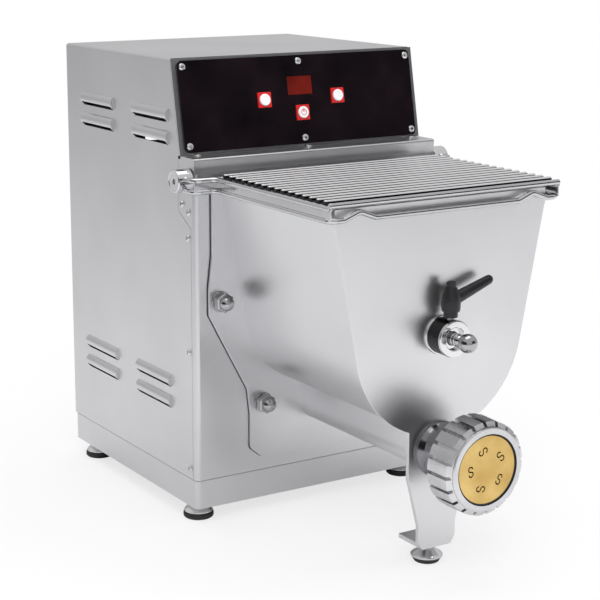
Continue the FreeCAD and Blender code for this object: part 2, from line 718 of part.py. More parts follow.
module = console_body()
pad(module, "XZ_Plane", ("wall", "board_gap"), [rect(("-display_wide / 2 - 2", "display_wide / 2 + 2"),
                                                     ("display_up - 7", "display_up + 10"))])
node("display_module", module)

screws = []
for at in fascia_screws:
    screw = console_body()
    pad(screw, "XZ_Plane", ("-fascia_wall - screw_head_tall", "-fascia_wall"), [(at[0], at[1], "screw_head")])
    pad(screw, "XZ_Plane", ("-fascia_wall", "-fascia_wall + screw_grip"), [(at[0], at[1], "screw_shank")])
    screws.append(screw)

# Ledge under the console: a folded sheet with closed ends

LEDGE_TOP = "(console_low_z)"
ledge = new_body()
pad(ledge, "YZ_Plane", ("-%s" % HALF, HALF), [rect((FRONT, TAB_Y), ("ledge_low", LEDGE_TOP))])
round_edges(ledge, "wall + 0.5", lambda edge: runs_along(edge, "x")
            and edge.CenterOfMass.y < value_probe.front + 1 and edge.CenterOfMass.z > num("console_low_z") - 1)
pocket(ledge, "YZ_Plane", ("-%s" % inner_half, inner_half),
       [rect(("%s + wall" % FRONT, "%s + 1" % TAB_Y), ("ledge_low - 1", "%s - wall" % LEDGE_TOP))])
ledge_back = box(("-%s - 1" % HALF, "%s + 1" % HALF), ("%s - seam" % CONSOLE_Y, "%s + 1" % TAB_Y),
                 ("%s - wall - 1" % LEDGE_TOP, "%s + 1" % LEDGE_TOP))
ledge_screw_y = "(%s - ledge_screw_back)" % CONSOLE_Y
ledge_screw_x = ["0"] + sides("(%s - ledge_screw_in)" % HALF)
ledge_holes = [rod("z", (x, ledge_screw_y), ("%s - wall - 1" % LEDGE_TOP, "%s + 1" % LEDGE_TOP),
                   "screw_shank + shaft_play") for x in ledge_screw_x]
node("ledge", cut(ledge, ledge_back, *ledge_holes))


def pan_screw(axis, across, face, outward):
    """A small pan-head screw: its head stands out of a face, its shank goes in."""
    head = ("%s + %d * screw_head_tall" % (face, outward), face)
    shank = (face, "%s - %d * screw_grip" % (face, outward))
    if outward > 0:
        head, shank = head[::-1], shank[::-1]
    return fuse(rod(axis, across, head, "screw_head"), rod(axis, across, shank, "screw_shank"))


screws += [pan_screw("z", (x, ledge_screw_y), LEDGE_TOP, 1) for x in ledge_screw_x]
node("console_screws", group(*screws))

# Corner posts behind the front panel, into which the side screws go

post_foot = "(base_bottom + base_wall + seam)"
posts = []
for x_side in (-1, 1):
    outer_x = "%d * (%s - base_wall - seam)" % (x_side, HALF)
    inner_x = "%d * (%s - base_wall - seam - post_side)" % (x_side, HALF)
    web_x = "%d * (%s - base_wall - seam - post_sheet)" % (x_side, HALF)
    low_x, high_x = (outer_x, inner_x) if x_side < 0 else (inner_x, outer_x)
    web = (outer_x, web_x) if x_side < 0 else (web_x, outer_x)
    level = (post_foot, "ledge_low - 2")
    wing = box((low_x, high_x), ("%s + base_wall + seam" % FRONT, "%s + base_wall + seam + post_sheet" % FRONT),
               (post_foot, "hinge_z - hub_radius - 4"))
    leg = box(web, ("%s + base_wall + seam" % FRONT, "%s + base_wall + seam + post_deep" % FRONT), level)
    posts.append(fuse(wing, leg))
post_holes = side_holes(side_screws + tab_screws)
post_holes.append(rod("x", (HINGE_Y, "hinge_z"), ("-%s" % HALF, HALF), "hinge_pin + 3"))
node("corner_posts", cut(group(*posts), *post_holes))
casing_screws = []
for x_side in (-1, 1):
    for at in side_screws + tab_screws:
        casing_screws.append(pan_screw("x", at, "%d * %s" % (x_side, HALF), x_side))
node("casing_screws", group(*casing_screws))

# Kneading tub: shell, rear flange, front plate with its leg

lean = "wall_lean"


def trough(radius, barrel, span, lip):
    """A solid prism of the tub's section: round belly, leaning sides and the auger's channel."""
    belly = rod("y", ("0", PADDLE_Z), span, radius)
    knee_x = "(%s) * cos(%s)" % (radius, lean)
    knee_z = "%s - (%s) * sin(%s)" % (PADDLE_Z, radius, lean)
    rim_x = "(%s + ((tub_top + %s) - (%s)) * tan(%s))" % (knee_x, lip, knee_z, lean)
    hopper = new_body()
    pad(hopper, "XZ_Plane", span, [mirrored([(rim_x, "tub_top + %s" % lip), (knee_x, knee_z)])])
    pieces = [belly, hopper]
    if barrel:
        pieces.append(rod("y", ("0", "auger_z"), span, barrel))
        pieces.append(box(("0 - (%s)" % barrel, barrel), span, ("auger_z", PADDLE_Z)))
    return fuse(*pieces)


shell_span = (SHELL_FRONT, TUB_BACK)
over = ("%s - 1" % SHELL_FRONT, "%s + 1" % TUB_BACK)
headroom = box(("0 - belly_bore * 2", "belly_bore * 2"), over, ("tub_top", "tub_top + belly_bore"))
shell = cut(trough(BELLY, BARREL, shell_span, "0"), trough("belly_bore", "barrel_bore", over, "10"), headroom)
node("tub_shell", shell)

flange = new_body()
flange_right = [
    ("flange_half", "tub_top"), ("flange_half", "flange_waist"),
    ("stud_high_x + stud_margin", "stud_high_z + 12"), ("stud_high_x + stud_margin", "stud_high_z - 12"),
    ("stud_low_x + 16", "stud_low_z + 14"), ("flange_hip", "stud_low_z - 10"),
    ("flange_hip", "flange_low + 10"), ("flange_hip - 12", "flange_low")]
pad(flange, "XZ_Plane", (TUB_BACK, FRONT), [mirrored(flange_right)])
pocket(flange, "XZ_Plane", (TUB_BACK, FRONT),
       [(x, z, "stud_radius + seam") for x, z in stud_places]
       + [("0", "auger_z", "seal_radius"), ("0", PADDLE_Z, "seal_radius")])
round_edges(flange, "6", lambda edge: runs_along(edge, "y") and edge.CenterOfMass.z < num("tub_top") - 1
            and abs(edge.CenterOfMass.x) > num("flange_hip") - 14)
node("tub_flange", flange)

plate_round = "(%s + plate_margin)" % BELLY
plate_span = (TUB_FRONT, SHELL_FRONT)
plate_top = trough(plate_round, None, plate_span, "0")
plate_lip_x = "(%s / cos(%s) + (tub_top - %s) * tan(%s) - 1)" % (plate_round, lean, PADDLE_Z, lean)
plate_lip = box(("0 - %s" % plate_lip_x, plate_lip_x), plate_span, ("tub_top - 8", "tub_top + plate_rise"))
leg = new_body()
pad(leg, "XZ_Plane", plate_span, [mirrored([
    ("leg_half", PADDLE_Z), ("leg_half", "leg_shoulder"), ("leg_toe", "leg_ankle"),
    ("leg_toe", "leg_bottom + 7"), ("leg_toe - 4.5", "leg_bottom")])])
toe = box(("0 - leg_toe + 4.5", "leg_toe - 4.5"), (SHELL_FRONT, "%s + toe_depth" % SHELL_FRONT),
          ("leg_bottom", "leg_bottom + front_wall"))
TOE_Y = "(%s - toe_foot_y)" % FRONT
plate_holes = [rod("y", ("0", "auger_z"), ("%s - 1" % TUB_FRONT, "%s + 1" % SHELL_FRONT), "barrel_bore"),
               rod("y", ("0", PADDLE_Z), ("%s - 1" % TUB_FRONT, "%s + 1" % SHELL_FRONT), "pin_radius + 1"),
               rod("z", ("0", TOE_Y), ("leg_bottom - 1", "leg_bottom + front_wall + 1"), "foot_stud + shaft_play")]
node("front_plate", cut(fuse(plate_top, plate_lip, leg, toe), *plate_holes))

# Studs, washers and acorn nuts that hold the tub

NUT_Y = "(%s - washer_wall)" % TUB_BACK


def acorn(x, z):
    """A hexagon with a dome on its front."""
    hexagon = new_body()
    corner = "nut_flats / sqrt(3)"
    points = [("%s + %s * cos(%d)" % (x, corner, 60 * i), "%s + %s * sin(%d)" % (z, corner, 60 * i))
              for i in range(6)]
    pad(hexagon, "XZ_Plane", ("%s - nut_tall" % NUT_Y, NUT_Y), [points])
    return fuse(hexagon, ball((x, "%s - nut_tall - 1" % NUT_Y, z), "nut_dome"))


studs = []
nuts = []
washers = []
for x, z in stud_places:
    hole = rod("y", (x, z), (NUT_Y + " - nut_tall", NUT_Y + " + 1"), "stud_radius")
    nuts.append(cut(acorn(x, z), hole))
    studs.append(rod("y", (x, z), (NUT_Y + " - nut_tall", PLATE_1_BACK), "stud_radius"))
    washers.append(cut(rod("y", (x, z), (NUT_Y, TUB_BACK), "washer_radius"),
                       rod("y", (x, z), (NUT_Y + " - 1", TUB_BACK + " + 1"), "stud_radius + shaft_play")))
node("tub_nuts", group(*(nuts + washers)))
node("flange_studs", group(*studs))

# Outlet nozzle, die, seal and ring nut

nozzle_neck = "(barrel_bore + 2.5)"
head_back = "(%s + nozzle_head_long)" % HEAD_FRONT
nozzle = fuse(rod("y", ("0", "auger_z"), ("%s - collar_wall" % TUB_FRONT, TUB_FRONT), "collar_radius"),
              rod("y", ("0", "auger_z"), (HEAD_FRONT, TUB_FRONT), nozzle_neck),
              taper("y", ("0", "auger_z"), (head_back, "%s - collar_wall" % TUB_FRONT),
                    (nozzle_neck, "collar_radius - 1")),
              rod("y", ("0", "auger_z"), (HEAD_FRONT, head_back), "nozzle_head"))
nozzle_bore = rod("y", ("0", "auger_z"), ("%s - 1" % HEAD_FRONT, "%s + 1" % TUB_FRONT), "barrel_bore")
nozzle_mouth = taper("y", ("0", "auger_z"), (HEAD_FRONT, "%s + 10" % HEAD_FRONT), ("die_radius - 5", "barrel_bore"))
node("outlet_nozzle", cut(nozzle, nozzle_bore, nozzle_mouth))

lobe_span = ("%s + rim_long" % RING_FRONT, RING_BACK)
lobes = []
for i in range(int(num("ring_lobes"))):
    angle = "%d * 360 / ring_lobes" % i
    lobes.append(rod("y", ("lobe_circle * cos(%s)" % angle, "auger_z + lobe_circle * sin(%s)" % angle),
                     lobe_span, "lobe_radius"))
ring_blank = fuse(rod("y", ("0", "auger_z"), (RING_FRONT, "%s + rim_long" % RING_FRONT), "ring_radius"),
                  rod("y", ("0", "auger_z"), lobe_span, "lobe_circle"), *lobes)
ring_bore = rod("y", ("0", "auger_z"), (DIE_FRONT, "%s + 1" % RING_BACK), "nozzle_head + thread_play")
ring_window = rod("y", ("0", "auger_z"), ("%s - 1" % RING_FRONT, "%s + 1" % DIE_FRONT), "die_window")
node("ring_nut", cut(ring_blank, ring_bore, ring_window))

die_front_gap = "(%s + seam)" % DIE_FRONT
die_back = "(%s + die_wall)" % DIE_FRONT
die_blank = fuse(rod("y", ("0", "auger_z"), (die_front_gap, die_back), "die_radius"),
                 rod("y", ("0", "auger_z"), ("%s - die_proud" % DIE_FRONT, die_front_gap), "die_window - die_gap"))


def s_slot(angle):
    """A slot in the shape of an S, made of two half rings."""
    bend, half_wide = num("slot_bend"), num("slot_wide") / 2
    y_low, long = value_probe.ring_front - 1, num("die_lip") + num("die_wall") + 3
    halves = []
    for side in (-1, 1):
        middle = V(0, y_low, side * bend)
        ring = Part.makeCylinder(bend + half_wide, long, middle, V(0, 1, 0))
        ring = ring.cut(Part.makeCylinder(bend - half_wide, long, middle, V(0, 1, 0)))
        quarter = Part.makeBox(2 * bend, long + 2, 2 * bend)
        quarter.translate(V(0 if side > 0 else -2 * bend, y_low - 1, -bend))
        halves.append(ring.cut(quarter))
    slot = halves[0].fuse(halves[1])
    slot.rotate(V(0, 0, 0), V(0, 1, 0), -10)
    slot.translate(V(num("slot_circle"), 0, 0))
    slot.rotate(V(0, 0, 0), V(0, 1, 0), -angle)
    slot.translate(V(0, 0, num("auger_z")))
    return slot


slot_cutters = doc.addObject("Part::Feature", "die_slot_cutters")
slot_list = [s_slot(360 / num("slot_count") * i + num("slot_start")) for i in range(int(num("slot_count")))]
slot_cutters.Shape = slot_list[0].multiFuse(slot_list[1:])
node("die", cut(die_blank, slot_cutters))
node("die_seal", cut(rod("y", ("0", "auger_z"), ("%s + 0.1" % die_back, "%s - 0.1" % HEAD_FRONT), "die_radius - 0.4"),
                     rod("y", ("0", "auger_z"), (die_back, HEAD_FRONT), "die_radius - 5")))

# Front bearing boss, locking pin and clamp lever

BOSS_FRONT = "(%s - boss_long)" % TUB_FRONT
boss = fuse(rod("y", ("0", PADDLE_Z), (BOSS_FRONT, TUB_FRONT), "boss_radius"),
            rod("y", ("0", PADDLE_Z), ("%s - 1.5" % TUB_FRONT, TUB_FRONT), "boss_radius + 1"))
pin_bore = "pin_radius + shaft_play"
boss_cuts = [rod("y", ("0", PADDLE_Z), ("%s - 1" % BOSS_FRONT, "%s + 1" % TUB_FRONT), pin_bore),
             rod("y", ("0", PADDLE_Z), ("%s - 1" % BOSS_FRONT, "%s + boss_recess_deep" % BOSS_FRONT), "boss_recess"),
             rod("z", ("0", LEVER_Y), (PADDLE_Z, "%s + boss_radius + 1" % PADDLE_Z), "lever_screw + shaft_play")]
node("paddle_boss", cut(boss, *boss_cuts))
pin_front = "(%s + boss_recess_deep - 2)" % BOSS_FRONT
node("locking_pin", fuse(
    rod("y", ("0", PADDLE_Z), (pin_front, "%s + pin_tip" % SHELL_FRONT), "pin_radius"),
    rod("y", ("0", PADDLE_Z), (BALL_Y, pin_front), "pin_neck"),
    ball(("0", BALL_Y, PADDLE_Z), "ball_radius")))

collar_top = "(%s + lever_collar_tall)" % LEVER_Z
hub_top = "(%s + lever_hub_tall)" % collar_top
hub_mid = "(%s + lever_hub_tall * 0.45)" % collar_top
arm_root = "(%s + lever_hub_tall * 0.5)" % collar_top
arm = primitive("Cone", {"Radius1": "lever_root", "Radius2": "lever_tip", "Height": "lever_arm / cos(lever_rise)"},
                ("0", LEVER_Y, arm_root), ((0, 1, 0), 60))
arm.setExpression("Placement.Rotation.Angle", cells("90 - lever_rise"))
arm_tip = ball(("lever_arm", LEVER_Y, "%s + lever_arm * tan(lever_rise)" % arm_root), "lever_tip")
lever_solid = fuse(rod("z", ("0", LEVER_Y), (LEVER_Z, collar_top), "lever_collar"),
                   taper("z", ("0", LEVER_Y), (collar_top, hub_mid), ("lever_hub", "lever_hub - 0.8")),
                   taper("z", ("0", LEVER_Y), (hub_mid, hub_top), ("lever_hub - 0.8", "lever_hub_top")),
                   arm, arm_tip)
lever_bore = [rod("z", ("0", LEVER_Y), ("%s - 1" % LEVER_Z, "%s + 1" % hub_top), "lever_screw + shaft_play"),
              rod("z", ("0", LEVER_Y), ("%s - 4" % hub_top, "%s + 1" % hub_top), "cap_radius + shaft_play")]
node("clamp_lever", cut(lever_solid, *lever_bore))
screw_top = "(%s - 5)" % hub_top
node("clamp_screw", rod("z", ("0", LEVER_Y), ("%s + pin_radius + 0.3" % PADDLE_Z, screw_top), "lever_screw"))
node("lever_cap", rod("z", ("0", LEVER_Y), ("%s - 3.9" % hub_top, "%s - 4 + cap_tall + 2" % hub_top), "cap_radius"))

# Drive: two plates on spacers carry the bearings of both shafts and of the layshaft

plate_x = ("0 - stud_high_x - 10", "stud_high_x + 10")
plate_z = ("base_top + seam + 1", "stud_high_z + 62")
shaft_places = [("0", "auger_z", "bearing_radius"), ("0", PADDLE_Z, "bearing_radius"), (LAY_X, LAY_Z, "lay_bearing")]
spacer_places = [("0 - stud_high_x", "base_top + 14"), ("stud_high_x", "base_top + 14"),
                 ("0 - stud_high_x", "stud_high_z + 50"), ("stud_high_x", "stud_high_z + 50")]
plates = []
for label, start in (("front_drive_plate", PLATE_1), ("rear_drive_plate", PLATE_2)):
    plate = new_body()
    pad(plate, "XZ_Plane", (start, "%s + plate_thick" % start), [rect(plate_x, plate_z)])
    holes = list(shaft_places) + [(x, z, "3 + shaft_play") for x, z in spacer_places]
    if label == "front_drive_plate":
        holes += [(x, z, "stud_radius") for x, z in stud_places]
    else:
        holes += [(MOTOR_X, MOTOR_Z, "rotor_shaft + 8")]
    pocket(plate, "XZ_Plane", (start, "%s + plate_thick" % start), holes)
    node(label, plate)
spacers = []
for x, z in spacer_places:
    spacers.append(fuse(rod("y", (x, z), (PLATE_1, PLATE_2_BACK), "3"),
                        rod("y", (x, z), (PLATE_1_BACK, PLATE_2), "7")))
node("drive_spacers", group(*spacers))

shaft_bore = {"bearing_radius": "shaft_radius", "lay_bearing": "lay_shaft"}
bearings = []
for x, z, outer in shaft_places:
    for start in (PLATE_1, PLATE_2):
        span = ("%s + 1" % start, "%s + 1 + bearing_wide" % start)
        ring = rod("y", (x, z), span, outer)
        bearings.append(cut(ring, rod("y", (x, z), ("%s - 1" % span[0], "%s + 1" % span[1]),
                                      "%s + shaft_play" % shaft_bore[outer])))
node("shaft_bearings", group(*bearings))
seals = []
for z in ("auger_z", PADDLE_Z):
    seal_span = (TUB_BACK, "%s + seal_wide" % TUB_BACK)
    seals.append(cut(rod("y", ("0", z), seal_span, "seal_radius"),
                     rod("y", ("0", z), ("%s - 1" % seal_span[0], "%s + 1" % seal_span[1]), "shaft_radius + shaft_play")))
node("shaft_seals", group(*seals))


def involute_gear(modulus, teeth, bore, start, width, centre, phase):
    """A spur gear along Y; one tooth is centred on the phase angle, in degrees from +X."""
    pitch_radius = modulus * teeth / 2
    base_radius = pitch_radius * math.cos(math.radians(20))
    tip_radius = pitch_radius + modulus * 0.95
    root_radius = pitch_radius - modulus * 1.25
    thick = math.pi * modulus / 2 - num("backlash")
    half_pitch = thick / 2 / pitch_radius

    def involute_at(radius):
        roll = math.acos(base_radius / radius)
        return math.tan(roll) - roll

    def lean_at(radius):
        return half_pitch + involute_at(pitch_radius) - involute_at(max(radius, base_radius))

    flank_start = max(root_radius, base_radius * 1.0001)
    radii = [flank_start + (tip_radius - flank_start) * i / 4 for i in range(5)]
    corners = []
    for tooth in range(teeth):
        middle = math.radians(phase) + 2 * math.pi * tooth / teeth
        rising = [(root_radius, lean_at(flank_start))] + [(radius, lean_at(radius)) for radius in radii]
        for radius, off in rising:
            corners.append((radius, middle - off))
        for radius, off in reversed(rising):
            corners.append((radius, middle + off))
    points = [V(centre[0] + radius * math.cos(angle), start, centre[1] + radius * math.sin(angle))
              for radius, angle in corners]
    wheel = Part.Face(Part.makePolygon(points + points[:1])).extrude(V(0, width, 0))
    hole = Part.makeCylinder(bore, width + 2, V(centre[0], start - 1, centre[1]), V(0, 1, 0))
    return wheel.cut(hole)


def mesh_phase(driver_phase, driver_teeth, teeth, direction):
    """The phase at which a gear meshes with a neighbour that lies the other way along the direction."""
    lead = (direction - driver_phase) / (360 / driver_teeth)
    return direction + 180 - (360 / teeth) * (0.5 - lead)


at = value_probe
slow_y = at.plate_1_back + num("gear_start")
fast_y = at.plate_1_back + num("wheel_start")
lay_phase = mesh_phase(90, num("auger_teeth"), num("lay_teeth"), 180 - num("lay_angle"))
auger_gear = involute_gear(num("gear_module"), int(num("auger_teeth")), num("shaft_radius"), slow_y,
                           num("gear_face"), (0, num("auger_z")), 90)
shaped("auger_gear", auger_gear)
paddle_gear = involute_gear(num("gear_module"), int(num("paddle_teeth")), num("shaft_radius"), slow_y,
                            num("gear_face"), (0, at.paddle_z),
                            mesh_phase(90, num("auger_teeth"), num("paddle_teeth"), 90))
shaped("paddle_gear", paddle_gear)
lay_pinion = involute_gear(num("gear_module"), int(num("lay_teeth")), num("lay_shaft") / 2, slow_y,
                           num("gear_face"), (at.lay_x, at.lay_z), lay_phase)
pinion_form = doc.addObject("Part::Feature", "pinion_form")
pinion_form.Shape = lay_pinion
lay_wheel = involute_gear(num("fast_module"), int(num("wheel_teeth")), num("lay_shaft"), fast_y,
                          num("wheel_face"), (at.lay_x, at.lay_z), 0)
shaped("layshaft_wheel", lay_wheel)
rotor_phase = mesh_phase(0, num("wheel_teeth"), num("rotor_teeth"), num("motor_angle"))
rotor_pinion = involute_gear(num("fast_module"), int(num("rotor_teeth")), num("rotor_shaft"), fast_y,
                             num("wheel_face"), (at.motor_x, at.motor_z), rotor_phase)
shaped("motor_pinion", rotor_pinion)
node("layshaft", fuse(rod("y", (LAY_X, LAY_Z), ("%s + 0.5" % PLATE_1, "%s - 0.5" % PLATE_2_BACK), "lay_shaft"),
                      pinion_form))

# Auger: core, flight and drive shaft in one piece

AUGER_TIP = "(%s + 14)" % HEAD_FRONT
auger_back = "(%s - 0.5)" % TUB_BACK
shaft_end = "(%s - 0.5)" % PLATE_2_BACK
auger_body = fuse(rod("y", ("0", "auger_z"), (AUGER_TIP, auger_back), "auger_core"),
                  taper("y", ("0", "auger_z"), ("%s - 8" % AUGER_TIP, AUGER_TIP), ("2", "auger_core")),
                  rod("y", ("0", "auger_z"), (auger_back, shaft_end), "shaft_radius"))


def flight():
    """The auger's helical flight as a swept rectangle, from near the tip to the tub's rear."""
    start = at.head_front + 16
    long = (at.front - num("flange_wall") - 3) - start - num("auger_flight")
    inner, outer = num("auger_core") - 0.6, num("barrel_bore") - num("auger_play")
    spine = Part.makeHelix(num("auger_pitch"), long, (inner + outer) / 2)
    thick = num("auger_flight")
    corners = [V(inner, 0, 0), V(outer, 0, 0), V(outer, 0, thick), V(inner, 0, thick), V(inner, 0, 0)]
    profile = Part.makePolygon(corners)
    sweep = spine.makePipeShell([profile], True, True)
    sweep.rotate(V(0, 0, 0), V(1, 0, 0), -90)
    sweep.translate(V(0, start, num("auger_z")))
    return sweep


flight_form = doc.addObject("Part::Feature", "flight_form")
flight_form.Shape = flight()
node("auger", fuse(auger_body, flight_form))

# Mixing paddle: hub with a blade bar on each side, driven by its own shaft

paddle_span = ("%s + end_gap" % SHELL_FRONT, "%s - end_gap" % TUB_BACK)
hub = rod("y", ("0", PADDLE_Z), paddle_span, "paddle_hub")
blade_parts = [hub]
for side, near, far in ((1, 0.06, 0.5), (-1, 0.5, 0.94)):
    length = "((%s) - (%s))" % (paddle_span[1], paddle_span[0])
    places = ["%s + %s * %g" % (paddle_span[0], length, share) for share in (near, far)]
    bar_x = "%d * (paddle_swing - paddle_bar)" % side
    for y in places:
        span = ("0", bar_x) if side > 0 else (bar_x, "0")
        blade_parts.append(rod("x", (y, PADDLE_Z), span, "paddle_bar"))
        blade_parts.append(ball((bar_x, y, PADDLE_Z), "paddle_bar"))
    blade_parts.append(rod("y", (bar_x, PADDLE_Z), (places[0], places[1]), "paddle_bar"))
pin_socket = rod("y", ("0", PADDLE_Z), ("%s - 1" % paddle_span[0], "%s + pin_tip + 1" % SHELL_FRONT), pin_bore)
shaft_socket = rod("y", ("0", PADDLE_Z), ("%s - socket_deep" % paddle_span[1], "%s + 1" % paddle_span[1]),
                   "shaft_radius")
node("mixing_paddle", cut(fuse(*blade_parts), pin_socket, shaft_socket))
node("paddle_shaft", rod("y", ("0", PADDLE_Z), ("%s - socket_deep" % paddle_span[1], shaft_end), "shaft_radius"))

# Motor: housing on the rear drive plate, rotor, fan and cowl

MOTOR_BACK = "(%s + motor_long)" % PLATE_2_BACK
motor_at = (MOTOR_X, MOTOR_Z)
stator = cut(rod("y", motor_at, (PLATE_2_BACK, MOTOR_BACK), "motor_radius"),
             rod("y", motor_at, ("%s + motor_wall" % PLATE_2_BACK, "%s - motor_wall" % MOTOR_BACK), "rotor_radius + 1"),
             rod("y", motor_at, ("%s - 1" % PLATE_2_BACK, "%s + 1" % MOTOR_BACK), "rotor_shaft + shaft_play"))
ribs = [rod("y", ("%s + motor_radius * cos(%d)" % (MOTOR_X, 20 * i), "%s + motor_radius * sin(%d)" % (MOTOR_Z, 20 * i)),
            ("%s + 10" % PLATE_2_BACK, "%s - 10" % MOTOR_BACK), "motor_rib") for i in range(18)]
node("motor_housing", fuse(stator, *ribs))
node("motor_rotor", fuse(
    rod("y", motor_at, ("%s + wheel_start - 2" % PLATE_1_BACK, "%s + cowl_long - 8" % MOTOR_BACK), "rotor_shaft"),
    rod("y", motor_at, ("%s + motor_wall + 2" % PLATE_2_BACK, "%s - motor_wall - 2" % MOTOR_BACK), "rotor_radius")))
fan_y = ("%s + fan_back" % MOTOR_BACK, "%s + cowl_long - 12" % MOTOR_BACK)
fan_parts = [rod("y", motor_at, fan_y, "rotor_shaft + fan_hub"),
             rod("y", motor_at, (fan_y[0], "%s + fan_disc" % fan_y[0]), "fan_radius - fan_hub")]
for i in range(int(num("fan_blades"))):
    blade = primitive("Box", {"Length": "fan_radius", "Width": "(%s) - (%s)" % (fan_y[1], fan_y[0]), "Height": "fan_blade"},
                      (MOTOR_X, fan_y[0], MOTOR_Z), ((0, 1, 0), 10))
    blade.setExpression("Placement.Rotation.Angle", cells("%d * 360 / fan_blades" % i + " + 1"))
    fan_parts.append(blade)
node("motor_fan", cut(fuse(*fan_parts), rod("y", motor_at, ("%s - 1" % fan_y[0], "%s + 1" % fan_y[1]), "rotor_shaft")))
cowl_span = (MOTOR_BACK, "%s + cowl_long" % MOTOR_BACK)
cowl = cut(rod("y", motor_at, cowl_span, "motor_radius - 2"),
           rod("y", motor_at, (cowl_span[0] + " - 1", cowl_span[1] + " - cowl_wall"), "motor_radius - 2 - cowl_wall"))
grille = [rod("y", ("%s + 26 * cos(%d)" % (MOTOR_X, 45 * i), "%s + 26 * sin(%d)" % (MOTOR_Z, 45 * i)),
              (cowl_span[0], cowl_span[1] + " + 1"), "8") for i in range(8)]
node("fan_cowl", cut(cowl, *grille))

# Electrics: run capacitor, terminal block, lid switch and cord gland

capacitor_x = "(%s - foot_inset_x - foot_stud - capacitor_radius - 16)" % HALF
capacitor_y = "(%s - wall - capacitor_radius - 12)" % REAR
capacitor_z = ("base_bottom + base_wall", "base_bottom + base_wall + capacitor_long")
node("run_capacitor", fuse(rod("z", (capacitor_x, capacitor_y), capacitor_z, "capacitor_radius"),
                           rod("z", (capacitor_x, capacitor_y), (capacitor_z[1], capacitor_z[1] + " + 8"), "4")))
block_foot = "(base_bottom + base_wall)"
block_x = ("0 - block_off", "block_long - block_off")
block_y = ("%s - block_back - block_wide" % REAR, "%s - block_back" % REAR)
block = box(block_x, block_y, (block_foot, "%s + block_tall" % block_foot))
block_wells = [rod("z", ("0 - block_off + (%d + 0.5) * well_pitch" % i, "%s - block_back - block_wide / 2" % REAR),
                   ("%s + block_tall / 2" % block_foot, "%s + block_tall + 1" % block_foot), "well_pitch * 0.3")
               for i in range(int(block_long / well_pitch))]
node("terminal_block", cut(block, *block_wells))
gland_at = ("gland_x", "gland_z")
gland = fuse(rod("y", gland_at, ("%s - wall - 8" % REAR, "%s + gland_reach" % REAR), "gland_bore + 3"),
             rod("y", gland_at, (REAR, "%s + 5" % REAR), "gland_radius + 1"),
             taper("y", gland_at, ("%s + 5" % REAR, "%s + gland_reach" % REAR), ("gland_radius", "gland_radius - 2")),
             rod("y", gland_at, ("%s - wall - 5" % REAR, "%s - wall" % REAR), "gland_radius + 1"))
node("cord_gland", cut(gland, rod("y", gland_at, ("%s - wall - 9" % REAR, "%s + gland_reach + 1" % REAR), "gland_bore")))

# Lid: hubs with hinge pins, bent rods with a strip between them, and cross wires



def out_from_side(x_side, near, far):
    """A span along X, counted outwards from one casing side, with its lower end first."""
    span = tuple("%d * (%s + (%s))" % (x_side, HALF, text) for text in (near, far))
    return span if x_side > 0 else span[::-1]


bushes = []
hubs = []
across = (HINGE_Y, "hinge_z")
for x_side in (-1, 1):
    bush = fuse(rod("x", across, out_from_side(x_side, "0 - 6", "0"), "hinge_pin + 2 - shaft_play"),
                rod("x", across, out_from_side(x_side, "0", "hub_start - 0.3"), "hinge_pin + 3"))
    bushes.append(cut(bush, rod("x", across, out_from_side(x_side, "0 - 7", "hub_start"), "hinge_pin + shaft_play")))
    pin = rod("x", across, out_from_side(x_side, "0 - 18", "hub_start"), "hinge_pin")
    if x_side < 0:
        cam = rod("x", ("%s - cam_off" % HINGE_Y, "hinge_z - cam_off"), out_from_side(x_side, "0 - 17", "0 - 11"), "cam_radius")
        pin = fuse(pin, cam)
    wheel = rod("x", across, out_from_side(x_side, "hub_start", "hub_start + hub_long"), "hub_radius")
    socket = rod("x", across, out_from_side(x_side, "hub_start + hub_long - 4", "hub_start + hub_long + 1"), "2.2")
    hubs.append(cut(fuse(wheel, pin), socket))
node("hinge_bushes", group(*bushes))
switch_x = ("0 - %s + 11" % HALF, "0 - %s + 17" % HALF)
switch_y = ("%s + cam_radius + 4" % HINGE_Y, "%s + cam_radius + 16" % HINGE_Y)
switch = box(switch_x, switch_y, ("hinge_z - 16", "hinge_z + 4"))
switch_foot = box(("0 - %s + base_wall + seam + post_sheet" % HALF, switch_x[0]), ("%s + 2" % switch_y[0], "%s - 2" % switch_y[1]),
                  ("hinge_z - 14", "hinge_z + 2"))
plunger_y = ("%s - cam_off + cam_radius + switch_gap" % HINGE_Y, switch_y[0])
node("lid_switch", fuse(switch, switch_foot, rod("y", ("0 - %s + 14" % HALF, "hinge_z - 4"), plunger_y, "2")))
node("lid_hubs", group(*hubs))

front_y = at.front
arm_x = num("case_width") / 2 + num("hub_start") + num("hub_long") / 2
rear_y = front_y - num("rear_rod_y")
lid_front = front_y - num("lid_reach")


def bent_rod(points, bend, radius):
    """A round rod along straight runs joined by tangent arcs."""
    edges = []
    here = points[0]
    for i in range(1, len(points) - 1):
        corner = points[i]
        back = (points[i - 1] - corner).normalize()
        ahead = (points[i + 1] - corner).normalize()
        half_turn = (math.pi - back.getAngle(ahead)) / 2
        trim = bend * math.tan(half_turn)
        first, last = corner + back * trim, corner + ahead * trim
        middle = corner + (back + ahead).normalize() * (bend / math.cos(half_turn) - bend)
        edges.append(Part.LineSegment(here, first).toShape())
        edges.append(Part.Arc(first, middle, last).toShape())
        here = last
    edges.append(Part.LineSegment(here, points[-1]).toShape())
    path = Part.Wire(edges)
    heading = (points[1] - points[0]).normalize()
    circle = Part.Wire(Part.makeCircle(radius, points[0], heading))
    return path.makePipeShell([circle], True, False)


def lid_sides(height):
    """The routes of the left and right side rods, from a hub round the corner and forward."""
    half = num("lid_half")
    hinge = V(arm_x, at.hinge_y_at, height)
    right = [hinge, V(arm_x, rear_y, height), V(half, rear_y, height), V(half, lid_front, height)]
    left = [V(-point.x, point.y, point.z) for point in right]
    return left, right


